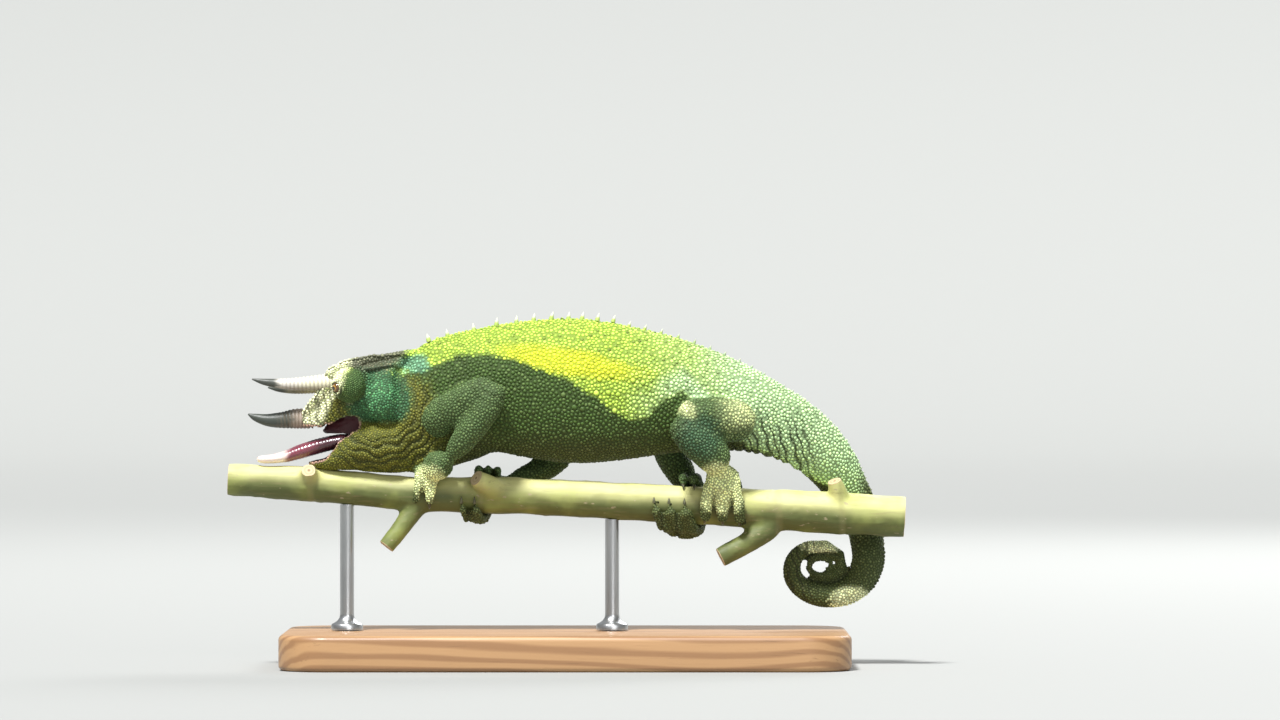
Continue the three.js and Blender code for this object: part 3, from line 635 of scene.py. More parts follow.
hip_zone = window(x, 44, 49, 66, 74) * (1 - smoothstep(z, 69, 76))
hip_zone *= smoothstep(z, 52, 58)
hip_folds = wave((x + 0.3 * (z - 60) + 0.8 * sway) / FOLD_PITCH["hip"]) * hip_zone * trunk_only
belly_zone = (1 - smoothstep(z, 66, 70)) * smoothstep(x, -30, -20) * (1 - smoothstep(x, 30, 38))
belly_folds = wave((x + 0.5 * sway) / FOLD_PITCH["belly"]) * belly_zone * trunk_only
shoulder_gap = np.hypot(x + 38, (z - 78) * 0.8)
shoulder_zone = window(shoulder_gap, 4, 7, 11, 15) * trunk_only * (1 - head)
shoulder_folds = wave((shoulder_gap + sway) / FOLD_PITCH["shoulder"]) * shoulder_zone * (1 - throat_zone)

KNEES = [(-19.5, 14.8, 80), (1, 13.4, 62.3), (31, 13.3, 70.7), (28, 13.4, 66.3)]
crease = np.zeros(len(skin_points))
for knee_x, knee_y, knee_z in KNEES:
    gap = np.linalg.norm(np.c_[x - knee_x, np.abs(y) - knee_y, z - knee_z], axis=1)
    crease += wave(gap / FOLD_PITCH["knee"]) * bell(gap - 5.5, 2.2) * leg

TOE_GAPS = [  # the foot, X between two toes, and where the gap runs round the branch in degrees
    ("front_foot_left", -40.6, -45, 12), ("front_foot_right", -27.6, -110, -5),
    ("front_foot_right", -23.3, 70, 150), ("front_foot_right", -20.7, 70, 150),
    ("hind_foot_left", 41.7, -55, 8), ("hind_foot_left", 46.7, -55, 8),
    ("hind_foot_right", 27.1, -120, 5), ("hind_foot_right", 31.3, -120, 5),
    ("hind_foot_right", 34.6, 60, 150),
]
round_branch = np.degrees(np.arctan2(z - branch_height(x), -y))
toe_gaps = np.zeros(len(skin_points))
for foot, between, start, end in TOE_GAPS:
    reached = window(round_branch, start - 8, start, end, end + 25)
    toe_gaps -= bell(x - between, 0.5) * reached * blurred(is_part([foot]), 1)

turret = blurred(is_part(TURRETS), 3)
socket_groove = -4 * turret * (1 - turret)  # where a turret turns in its socket
coil_middle, COIL_SQUASH = (72.6, 28.1), 0.8
coil_angle = np.arctan2(-(z - coil_middle[1]) / COIL_SQUASH, x - coil_middle[0]) % (2 * np.pi)
coil_reach = np.hypot(x - coil_middle[0], (z - coil_middle[1]) / COIL_SQUASH)
TURN_SHARES, TURN_REACHES = [0, 0.25, 0.5, 0.75, 0.9], [7.8, 5.7, 5.4, 4.0, 6.0]
between_turns = np.interp(coil_angle / (2 * np.pi), TURN_SHARES, TURN_REACHES)
coil_zone = is_part(["tail_coil_outer", "tail_coil_tip"]) * (coil_angle < 0.9 * 2 * np.pi)
coil_groove = -bell(coil_reach - between_turns, 0.5) * coil_zone

WEB_MIDDLE, WEB_SIZE = (-59.5, 0, 66.6), (10, 3.6, 6.2)  # the fleshy web between the jaws
in_web = (np.linalg.norm((skin_points - WEB_MIDDLE) / WEB_SIZE, axis=1) < 1.1) & (x < -60)
web_wrinkles = wave((z + 0.5 * np.sin(x * 1.1 + y)) / 1.4) * blurred(in_web & is_part(HEAD_NODES), 2)
grooves = [  # millimetres deep
    (0.7, throat_folds), (0.65, hip_folds), (0.12, belly_folds), (0.25, shoulder_folds), (0.3, crease),
    (0.45, socket_groove), (0.8, coil_groove), (0.75, toe_gaps), (0.28, web_wrinkles),
]
depth = sum(deep * groove for deep, groove in grooves)
folds = throat_folds + hip_folds + 0.6 * shoulder_folds + crease + socket_groove
# This is how deep a point lies in a fold or crease. The hide is darkened there as painted shade.
fold = np.clip(-folds - 2 * (coil_groove + toe_gaps), 0, 2)
skin_points += skin_normals * depth[:, None]
move_points(skin, skin_points)
smooth(skin, 1)
shade(skin)
print("folds pressed into the throat, shoulders, hips, belly and knees")

# %% [markdown]
# ## Numbers that the skin carries
#
# The colours follow the parts of the body, and some parts cross in front of others, so place alone
# can't tell a leg from the flank behind it. The skin's points therefore carry a few numbers from 0
# to 1, such as how much a point belongs to a leg, and each scale takes over the numbers of its
# root. Skin and coat then wear the same markings.

# %% Leg, turret, mouth and folds as numbers on the points
skin_points = points_of(skin)
skin_normals = normals_of(skin)
x, y, z = skin_points.T
MOUTH_MIDDLE = [(-80, 66.4, 3.4), (-73, 66, 4.4), (-67.5, 66, 5.6), (-62.5, 67, 6.6), (-57.5, 68, 7.4)]
MOUTH_BACK = -61.5  # from here on the walls of the mouth face forward
mouth_x, mouth_z, mouth_half = np.array(MOUTH_MIDDLE).T
inner_half = np.interp(x, mouth_x, mouth_half)
inner_z = np.interp(x, mouth_x, mouth_z)
inwards = np.c_[np.minimum(MOUTH_BACK - x, 0), -y, inner_z - z]
inwards /= np.linalg.norm(inwards, axis=1)[:, None] + 1e-6
faces_in = np.einsum("ij,ij->i", inwards, skin_normals) > 0.35
inside_mouth = faces_in & (np.abs(y) < inner_half)
inside_mouth |= np.linalg.norm((skin_points - WEB_MIDDLE) / WEB_SIZE, axis=1) < 1.12
inside_mouth &= is_part(HEAD_NODES) & (x < -58.3) & (np.abs(z - inner_z) < 8.2)
mouth = blurred(inside_mouth, 3)
skin_numbers = {"leg": leg, "turret": turret, "mouth": mouth, "fold": fold}


def carry(piece, numbers):
    for name, values in numbers.items():
        attribute = piece.data.attributes.new(name, "FLOAT", "POINT")
        attribute.data.foreach_set("value", np.asarray(values, np.float32))


carry(skin, skin_numbers)
print("numbers on the skin:", sorted(skin_numbers))

# %% [markdown]
# ## The coat of scales
#
# Chameleon skin is a pavement of small domed granules with larger warts between them. Bump alone
# leaves a smooth outline, so each granule is a small solid. They are spread over the skin by
# throwing darts: a dart sticks only where it is far enough from those before it. A few rounds of
# pushing neighbours apart even them out, as growing scales do. Scales are smallest on the face
# and feet.

# %% How far apart scales grow on each part
SPACING = {
    "head": 0.72, "lower_jaw": 0.68, "eye_turret_left": 0.58, "eye_turret_right": 0.58,
    "neck": 0.8, "torso": 1.0, "tail_base": 0.93, "tail_bend": 0.84,
    "tail_coil_outer": 0.76, "tail_coil_tip": 0.6,
    "upper_arm": 0.84, "forearm": 0.8, "front_foot": 0.66,
    "thigh": 0.88, "shin": 0.82, "hind_foot": 0.7,
}
base_spacing = np.array([SPACING.get(n) or SPACING[n.rsplit("_", 1)[0]] for n in FLESH])
spacing = blurred(base_spacing[skin_part], 10)
edge_z = np.interp(x, [-38, -24, -13, -2, 10, 20], [85, 88, 86.6, 82, 75.3, 69.6])
smooth_band = bell(z - edge_z - 2.4, 1.8) * (x > -30) * (x < 18)
spacing *= 1 - 0.12 * smooth_band * trunk_only
belly_share = (1 - smoothstep(z, 60, 68)) * trunk_only * smoothstep(x, -34, -28) * (1 - smoothstep(x, 38, 46))
spacing *= 1 - 0.15 * belly_share
print(f"spacing from {spacing.min():.2f} to {spacing.max():.2f} mm")

# %% Warts that are placed before the small scales
rng = np.random.default_rng(7)
skin_faces = np.array([face.vertices[:] for face in skin.data.polygons])
graph = bpy.context.evaluated_depsgraph_get()
skin_tree = BVHTree.FromObject(skin, graph)


def on_skin(place):
    """The nearest place of the skin in millimetres, with its smooth normal and its face."""
    hit, _, face, _ = skin_tree.find_nearest(Vector(place) * MM)
    corners = skin_faces[face]
    offsets = np.linalg.norm(skin_points[corners] - np.array(hit) / MM, axis=1)
    weights = 1 / (offsets + 0.05)
    normal = weights @ skin_normals[corners]
    return np.array(hit) / MM, normal / np.linalg.norm(normal), face


def along(line, step):
    """Places about a step apart on a line of places."""
    line = np.array(line, float)
    length = np.r_[0, np.cumsum(np.linalg.norm(np.diff(line, axis=0), axis=1))]
    at = np.arange(0, length[-1], step)
    return np.c_[[np.interp(at, length, axis) for axis in line.T]].T


warts = []  # place, width, height
for lines, step, width, height in (
    (on_both_sides(SIDE_CREST), 1.2, 1.2, 0.5),
    (on_both_sides(SNOUT_RIDGE), 1.15, 1.1, 0.42),
    (on_both_sides(LID_LINE), 0.85, 0.8, 0.24),
):
    for line in lines:
        for place in along(line, step):
            warts.append((place, width * rng.uniform(0.9, 1.1), height * rng.uniform(0.8, 1.2)))
BEAD_LINE = [
    (79, 9.7, 58.2), (83.5, 12, 50), (90.6, 11.8, 38), (91.4, 9, 28), (88.2, 8.6, 20), (80, 8.6, 15.2),
]
for aside in (-1.1, 0, 1.1):  # three rows of beads on the outer edge of the tail
    for x_bead, y_bead, z_bead in along(BEAD_LINE, 1.15):
        warts.append(((x_bead, y_bead + aside, z_bead), rng.uniform(0.95, 1.2), rng.uniform(0.35, 0.5)))
for side in (LEFT, RIGHT):
    for start, end in (((-34, 80), (44, 79)), ((-26, 73), (36, 72)), ((-20, 66), (30, 66))):
        for share in np.arange(0.02, 1, 0.066):
            wart_x = start[0] + (end[0] - start[0]) * share + rng.uniform(-1.6, 1.6)
            wart_z = start[1] + 4 * math.sin(math.pi * share) + rng.uniform(-1.4, 1.4)
            spot, _, face = on_skin((wart_x, 30 * side, wart_z))
            if leg[skin_faces[face][0]] < 0.1:
                warts.append((spot, rng.uniform(1.3, 1.8), rng.uniform(0.35, 0.6)))
for (before, _), (after, _) in zip(crest_tips, crest_tips[1:]):  # beads between the spines
    count = round(np.linalg.norm(after - before) / 1.1) - 1
    for share in np.arange(1, count + 1) / (count + 1):
        warts.append((before + (after - before) * share, rng.uniform(0.9, 1.1), rng.uniform(0.3, 0.5)))


TURRET_ROW = 0.6  # millimetres between rows, and between scales in a row
TURRET_PROFILE = [(5.5, 0, 2.0), (4.5, 0, 2.7), (2.8, 0, 4.4), (0.8, 0, 5.3), (-1.2, 0, 5.4)]


def turret_rings(side):
    """Places of the scales that circle the lid opening in even rows."""
    middle, axis = eye_on(side)
    upward = np.cross(axis, (0, 1, 0))
    upward /= np.linalg.norm(upward)
    sideways = np.cross(axis, upward)
    for ahead, _, radius in along(TURRET_PROFILE, TURRET_ROW):
        count = int(2 * math.pi * radius / TURRET_ROW)
        for turn in np.linspace(0, 2 * math.pi, count, endpoint=False):
            yield middle + axis * ahead + radius * (math.cos(turn) * upward + math.sin(turn) * sideways)


on_turret = is_part(TURRETS)
rings = []
for side in (LEFT, RIGHT):
    for place in turret_rings(side):
        spot, normal, face = on_skin(place)
        if np.linalg.norm(spot - place) < 0.6 and on_turret[skin_faces[face][0]]:
            rings.append((spot, normal))
print("warts in rows:", len(warts), "scales in rings round the eyes:", len(rings))

# %% Throw the darts
CANDIDATES = 240000
CELL = 1.1
LID_AHEAD = 4.6  # from a turret's middle to its lids
BARE_LIDS, BARE_CLAWS = 1.6, 1.5  # no scale grows this near to a lid opening or to a claw's tip
corner_points = skin_points[skin_faces]
diagonals = np.cross(corner_points[:, 2] - corner_points[:, 0], corner_points[:, 3] - corner_points[:, 1])
face_area = np.linalg.norm(diagonals, axis=1) / 2
face_spacing = spacing[skin_faces].mean(1)
claw_places = np.array([tip for tips in claw_tips.values() for tip, _ in tips])
crest_places = [on_skin(tip)[0] for tip, _ in crest_tips]
bare = (mouth[skin_faces].mean(1) > 0.4) | (coil_groove[skin_faces].mean(1) < -0.7)
for side in (LEFT, RIGHT):
    middle, axis = eye_on(side)
    front = middle + LID_AHEAD * axis
    bare |= np.linalg.norm(corner_points.mean(1) - front, axis=1) < BARE_LIDS
for place in claw_places:
    bare |= np.linalg.norm(corner_points.mean(1) - place, axis=1) < BARE_CLAWS
chance = np.where(bare, 0, face_area / face_spacing**2)
picked = rng.choice(len(skin_faces), CANDIDATES, p=chance / chance.sum())
u, v = rng.random((2, CANDIDATES, 1))
corner_weights = np.hstack([(1 - u) * (1 - v), u * (1 - v), u * v, (1 - u) * v])
dart_places = np.einsum("ij,ijk->ik", corner_weights, corner_points[picked])
dart_normals = np.einsum("ij,ijk->ik", corner_weights, skin_normals[skin_faces[picked]])
dart_spacing = face_spacing[picked]

cells = {}
scales = []  # place, normal, spacing, height or 0


def try_dart(place, normal, wide, height=0.0, reach=0.86):
    px, py, pz = place
    nx, ny, nz = normal
    cell = (int(px // CELL), int(py // CELL), int(pz // CELL))
    for i in (cell[0], cell[0] - 1, cell[0] + 1):
        for j in (cell[1], cell[1] - 1, cell[1] + 1):
            for k in (cell[2], cell[2] - 1, cell[2] + 1):
                for qx, qy, qz, mx, my, mz, other in cells.get((i, j, k), ()):
                    least = reach * 0.5 * (wide + other)
                    gap = (px - qx) ** 2 + (py - qy) ** 2 + (pz - qz) ** 2
                    if gap < least * least and nx * mx + ny * my + nz * mz > 0:
                        return
    cells.setdefault(cell, []).append((px, py, pz, nx, ny, nz, wide))
    scales.append((place, normal, wide, height))


for tip in crest_places:
    cells.setdefault(tuple(int(c // CELL) for c in tip), []).append((*tip, 0, 0, 1, 1.5))
for place, width, height in warts:
    spot, normal, _ = on_skin(place)
    try_dart(spot, normal, width, height)
for spot, normal in rings:
    try_dart(spot, normal, TURRET_ROW)
for place, normal, wide in zip(dart_places.tolist(), dart_normals.tolist(), dart_spacing.tolist()):
    try_dart(place, normal, wide)
print("scales:", len(scales))

# %% Push neighbours apart
ROUNDS = 3
NEIGHBOURS = 8
scale_places = np.array([scale[0] for scale in scales])
scale_normals = np.array([scale[1] for scale in scales])
scale_wide = np.array([scale[2] for scale in scales])
scale_height = np.array([scale[3] for scale in scales])
scale_face = np.zeros(len(scales), int)


def neighbours_of(places, count):
    tree = KDTree(len(places))
    for i, place in enumerate(places.tolist()):
        tree.insert(place, i)
    tree.balance()
    found = [[hit[1] for hit in tree.find_n(place, count + 1)[1:]] for place in places.tolist()]
    return np.array(found)


for _ in range(ROUNDS):
    near = neighbours_of(scale_places, NEIGHBOURS)
    offset = scale_places[:, None] - scale_places[near]
    gap = np.linalg.norm(offset, axis=2) + 1e-6
    wanted = 0.5 * (scale_wide[:, None] + scale_wide[near])
    facing = np.einsum("ik,ijk->ij", scale_normals, scale_normals[near]) > 0
    push = np.where(facing, np.clip(wanted - gap, 0, None) / gap, 0) * 0.35
    moved = scale_places + np.einsum("ij,ijk->ik", push, offset) * (scale_height == 0)[:, None]
    for i, place in enumerate(moved):
        scale_places[i], scale_normals[i], scale_face[i] = on_skin(place)
kept = ~bare[scale_face]  # those that were pushed into the mouth or onto an eye go
scale_places, scale_normals, scale_wide = scale_places[kept], scale_normals[kept], scale_wide[kept]
scale_height, scale_face = scale_height[kept], scale_face[kept]
print("neighbours pushed apart:", kept.sum(), "scales kept")

# %% [markdown]
# Each scale fills the cell between its neighbours, so that the coat closes without gaps showing
# flat skin. Its outline reaches almost half way to the next scale in each of seven directions,
# its base is sunk in the skin, and a second, smaller ring carries the dome.

# %% Give each scale its outline
SIDES = 7
near = neighbours_of(scale_places, 9)
offset = scale_places[near] - scale_places[:, None]
offset_length = np.linalg.norm(offset, axis=2) + 1e-6
facing = np.einsum("ik,ijk->ij", scale_normals, scale_normals[near]) > 0.2
tangent = np.cross(scale_normals, np.where(np.abs(scale_normals[:, :1]) < 0.9, (1, 0, 0), (0, 0, 1)))
tangent /= np.linalg.norm(tangent, axis=1)[:, None]
across = np.cross(scale_normals, tangent)
turn = rng.uniform(0, 2 * math.pi, len(scale_places))
reach = np.empty((len(scale_places), SIDES))
directions = np.empty((len(scale_places), SIDES, 3))
for k in range(SIDES):
    angle = turn + 2 * math.pi * k / SIDES
    direction = np.cos(angle)[:, None] * tangent + np.sin(angle)[:, None] * across
    towards = np.einsum("ik,ijk->ij", direction, offset) / offset_length
    share = scale_wide[:, None] / (scale_wide[:, None] + scale_wide[near])
    limit = np.where(facing & (towards > 0.25), share * offset_length / np.maximum(towards, 0.25), np.inf)
    reach[:, k] = np.clip(limit.min(1) * 0.95, 0.3 * scale_wide, 0.62 * scale_wide)
    directions[:, k] = direction
print(f"scale reach {reach.min():.2f} to {reach.max():.2f} mm")

# %% Unwrap the skin's own shape
edit(skin, "FACE")
bpy.ops.uv.smart_project(angle_limit=math.radians(66), island_margin=0.001)
close_edit()
skin.data.uv_layers[0].name = "unwrap"
flat = np.empty(len(skin.data.loops) * 2)
skin.data.uv_layers[0].data.foreach_get("uv", flat)
face_uv = flat.reshape(-1, 4, 2).mean(1)
print("skin unwrapped")

# %% Build the scales of one region as a joined mesh
SUNK = 0.12  # millimetres that a scale's base lies under the skin
SHOULDER = 0.74  # share of the outline where the dome begins
PATCH = 0.0015  # half of a scale's patch on the unwrap


def coat_piece(name, chosen, finish):
    """A closed dome for each chosen scale, in one mesh with the numbers and UVs of their roots."""
    count = len(chosen)
    places, normals = scale_places[chosen], scale_normals[chosen]
    low = np.where(scale_height[chosen] > 0, scale_height[chosen], 0.24 * scale_wide[chosen])
    low = low * rng.uniform(0.85, 1.15, count)
    spread = directions[chosen] * reach[chosen][:, :, None]
    ring = places[:, None] + spread - SUNK * normals[:, None]
    shoulder = places[:, None] + SHOULDER * spread + (0.72 * low)[:, None, None] * normals[:, None]
    lean = 0.12 * spread[:, 0]
    top = places + low[:, None] * normals + lean
    corners = np.concatenate([ring, shoulder, top[:, None]], axis=1).reshape(-1, 3)
    size = 2 * SIDES + 1
    start = np.arange(count)[:, None] * size
    k = np.arange(SIDES)
    after = (k + 1) % SIDES
    walls = np.stack([k, after, after + SIDES, k + SIDES], axis=1).ravel()
    roof = np.stack([k + SIDES, after + SIDES, np.full(SIDES, 2 * SIDES)], axis=1).ravel()
    template = np.concatenate([walls, roof, k[::-1]])
    lengths = np.tile([4] * SIDES + [3] * SIDES + [SIDES], count)
    loops = (start + template).ravel()
    mesh = bpy.data.meshes.new(name)
    mesh.vertices.add(len(corners))
    mesh.vertices.foreach_set("co", (corners * MM).ravel())
    mesh.loops.add(len(loops))
    mesh.loops.foreach_set("vertex_index", loops.astype(np.int32))
    mesh.polygons.add(len(lengths))
    mesh.polygons.foreach_set("loop_start", np.r_[0, np.cumsum(lengths)[:-1]].astype(np.int32))
    mesh.update(calc_edges=True)
    mesh.polygons.foreach_set("use_smooth", np.ones(len(lengths), bool))
    piece = bpy.data.objects.new(name, mesh)
    bpy.context.scene.collection.objects.link(piece)
    roots = skin_faces[scale_face[chosen]]
    numbers = {key: np.repeat(values[roots].mean(1), size) for key, values in skin_numbers.items()}
    numbers["tone"] = np.repeat(rng.random(count), size)
    numbers["rise"] = np.tile([0.0] * SIDES + [0.8] * SIDES + [1.0], count)
    carry(piece, numbers)
    around = np.c_[np.cos(2 * math.pi * k / SIDES), np.sin(2 * math.pi * k / SIDES)]
    patch = np.concatenate([around, around * SHOULDER, [[0, 0]]]) * PATCH
    point_uv = (face_uv[scale_face[chosen]][:, None] + patch).reshape(-1, 2)
    layer = mesh.uv_layers.new(name="OFBake")
    layer.data.foreach_set("uv", point_uv[loops].ravel())
    return finish_piece(piece, finish)


# %% [markdown]
# ## Markings
#
# The colours are written once, as a sum that both the skin and the scales use. Places are in
# millimetres on the object. The back is yellow-green with a bright yellow streak, the flank below
# a swinging line is dark green, partly its own colour and partly painted shade, hips and tail root
# are pale mint, the cheek is teal, the throat olive with its folds darkened as painted shade, and
# the tail's coil is olive-brown. Painted sunlight lies on the knees, feet and hips, on the front of
# each eye turret, on the top of the coil and, over its own pale cream, on the snout; painted shade
# lies between the scales.

# %% The colours of the hide
BACK = (0.46, 0.68, 0.07)
YELLOW = (0.82, 0.92, 0.03)
MINT = (0.55, 0.80, 0.43)
FLANK_GREEN_AND_SHADE = (0.042, 0.095, 0.010)
BELLY = (0.045, 0.06, 0.007)
OLIVE_THROAT = (0.15, 0.15, 0.007)
CHEEK_TEAL = (0.028, 0.13, 0.05)
CHEEK_LIGHT = (0.09, 0.32, 0.13)
TURRET_SHADED_GREEN = (0.05, 0.12, 0.025)
TURRET_PAINTED_SUNLIGHT = (0.42, 0.54, 0.10)
SNOUT_CREAM_AND_SUNLIGHT = (0.95, 0.96, 0.60)
CASQUE_BROWN = (0.15, 0.135, 0.095)
NAPE_TEAL = (0.14, 0.40, 0.28)
LEG_GREY = (0.075, 0.135, 0.04)
LEG_TEAL = (0.035, 0.10, 0.045)
LEG_PAINTED_SUNLIGHT = (0.84, 0.92, 0.44)
TOE_OLIVE = (0.075, 0.10, 0.025)
COIL_OLIVE = (0.06, 0.085, 0.02)
COIL_PAINTED_SUNLIGHT = (0.84, 0.92, 0.54)
LIP_PINK = (0.50, 0.30, 0.23)
LIP_GREEN = (0.22, 0.27, 0.13)
MOUTH_RED = (0.05, 0.012, 0.014)
MOUTH_PAINTED_SHADE = (0.010, 0.004, 0.005)
PAINTED_CREVICE_SHADE = (0.015, 0.02, 0.004)
# Below this line the flank is dark green, partly its own colour and partly painted shade.
FLANK_SHADE_LINE = [
    (-60, 82), (-45, 83), (-38.5, 85), (-30, 87.8), (-24, 88.2), (-18.7, 87.8), (-13, 86.6), (-7.4, 84.6),
    (-1.7, 82.1), (4, 79), (9.6, 75.3), (14, 72), (18, 69.8), (23, 70.6), (27, 75), (33, 78), (42, 70),
    (50, 63), (58, 60), (66, 55), (76, 50), (90, 46),
]
EDGE_START, EDGE_LENGTH, EDGE_LOW, EDGE_HIGH = -60, 150, 40, 90


def curve_of(finish, value, line, start, length, low, high):
    """A height that follows a line of places, as a colour ramp of greys."""
    greys = [((v - low) / (high - low)) for _, v in line]
    stops = [((at - start) / length, (g, g, g)) for (at, _), g in zip(line, greys)]
    return finish.node("ValToRGB", {"stops": stops}, {0: (value - start) / length}) * (high - low) + low


def spot_mask(x, z, middle, half_size, softness=0.5):
    """1 inside an oval, falling to 0 outside it."""
    away = ((x - middle[0]) / half_size[0]) ** 2 + ((z - middle[1]) / half_size[1]) ** 2
    return away.step(1 + softness, 1 - softness)


PIT_ROWS = 2.6  # millimetres between the rows of dark scales on the back


def trunk_colour(finish, x, y, z, ragged, tone):
    """Back, flank, belly, hips and tail."""
    edge = curve_of(finish, x, FLANK_SHADE_LINE, EDGE_START, EDGE_LENGTH, EDGE_LOW, EDGE_HIGH)
    # The back's colour lies above the line. Below it lies the dark flank, which is partly painted shade.
    above = (z - edge + ragged * 0.35).step(-1, 1)
    mint = (x + ragged * 2).step(12, 38) * above
    ridge_green = (z - edge + x * 0.1).step(7, 12) * (x + ragged).step(52, 30)
    streak = spot_mask(x + ragged * 1.5, z + x * 0.16 + ragged * 0.4, (1, 86.2), (19, 3.6), 0.8) * above
    # Pits: scales in rows on a rough band of the back, darkened as painted shade in the gaps between
    # granules.
    rough = (z - edge).step(5, 8).most((x + ragged * 2).step(8, 20)) * above * (x + ragged * 2).step(60, 40)
    rows = ((z - edge + ragged * 0.15) * (2 * math.pi / PIT_ROWS)).sine().step(0.1, 0.7)
    pit_shade = rough * rows * (1 - streak) * tone.step(0.32, 0.2) * 0.55
    under = (z + ragged * 0.8).step(47, 41) * x.step(60, 64)
    behind_branch = (x - 58).step(4, 9) * y.step(4, 9) * z.step(60, 50)
    wander_x, wander_z = x + ragged * 0.5, z + ragged * 0.3
    # Pale patches on the top of the coil and on its lower turn are painted sunlight.
    coil_top = spot_mask(wander_x, wander_z, (73, 34.4), (6.8, 2.6), 0.4)
    coil_low = spot_mask(wander_x, wander_z, (80.5, 18.4), (5.6, 3.8), 0.5)
    return finish.paint(
        BELLY, (FLANK_GREEN_AND_SHADE, (z + ragged).step(60, 69)), (BACK, above), (MINT, mint * 0.9),
        (BACK, ridge_green * 0.7), (YELLOW, streak), (PAINTED_CREVICE_SHADE, pit_shade),
        (COIL_OLIVE, under.most(behind_branch)), (COIL_PAINTED_SUNLIGHT, coil_top.most(coil_low)),
    )


def leg_colour(finish, x, y, z, ragged):
    """Grey-green legs, a teal shin partly darkened as painted shade and olive toes, with painted
    sunlight on the knees, feet and hips.
    """
    wander_x, wander_z = x + ragged * 0.5, z + ragged * 0.5
    # The shin is darker teal, partly its own colour and partly painted shade under the thigh.
    shin = spot_mask(wander_x, wander_z, (37.5, 65), (6.5, 6.5), 0.7)
    knee = spot_mask(wander_x, wander_z, (30, 72), (6.4, 4.2), 0.6) * (z + x * 0.5).step(86.5, 89.5)
    foot_top = spot_mask(wander_x, wander_z, (43.6, 50.4), (7.4, 7.2), 0.5) * (y * -1).step(2, 6)
    fore_foot = spot_mask(wander_x, wander_z, (-38.6, 52), (5, 5), 0.6) * (y * -1).step(2, 6)
    hip = (x + ragged).step(40, 50) * (z + ragged * 0.5).step(65, 71)
    # Painted sunlight on the top of the knee, on the feet and on the hip.
    painted_sunlight = knee.most(foot_top).most(fore_foot).most(hip * 0.6)
    return finish.paint(LEG_GREY, (LEG_TEAL, shin), (TOE_OLIVE, wander_z.step(51.5, 48)), (LEG_PAINTED_SUNLIGHT, painted_sunlight))


def face_colour(finish, colour, x, y, z, ragged, grain, from_cheek):
    """Casque, nape, cheek and snout over the colour of the throat."""
    before_nape = (x + ragged * 0.5).step(-43, -47)
    round_cheek = (from_cheek + ragged * 0.6).step(11, 7.5) * (z + ragged * 0.3).step(68, 70.5)
    above_eye = (z + x * 0.1 + ragged * 0.5).step(75, 78) * (x + ragged).step(-44, -50)
    light = (from_cheek + ragged * 0.4).step(7, 4.6) * grain.step(0.2, 0.75)
    casque = (z - x * 0.16 + ragged * 0.7).step(91.4, 94.6) * before_nape
    nape = spot_mask(x + ragged * 0.8, z + ragged * 0.5, (-42.5, 85.6), (4.6, 2.4), 0.8)
    turret = finish.number("turret").step(0.3, 0.7)
    # Each turret is green darkened as painted shade, with painted sunlight on its front and top.
    turret_light_and_shade = finish.mix(TURRET_SHADED_GREEN, TURRET_PAINTED_SUNLIGHT, (z * 0.8 - x + ragged * 0.5).step(126, 130))
    # The front of the snout is cream, partly its own pale colour and partly painted sunlight.
    snout = (z * 0.45 - x + ragged * 0.45).step(98, 100.5) * (z + ragged * 0.2).step(63.4, 65)
    speckled = finish.mix(SNOUT_CREAM_AND_SUNLIGHT, (0.22, 0.34, 0.07), grain.step(0.8, 0.95) * 0.6)
    return finish.paint(
        colour, (CHEEK_TEAL, round_cheek), (CHEEK_TEAL, above_eye), (CHEEK_LIGHT, light * 0.85),
        (CASQUE_BROWN, casque * 0.85), (NAPE_TEAL, nape * 0.85), (turret_light_and_shade, turret * 0.9),
        (speckled, snout),
    )


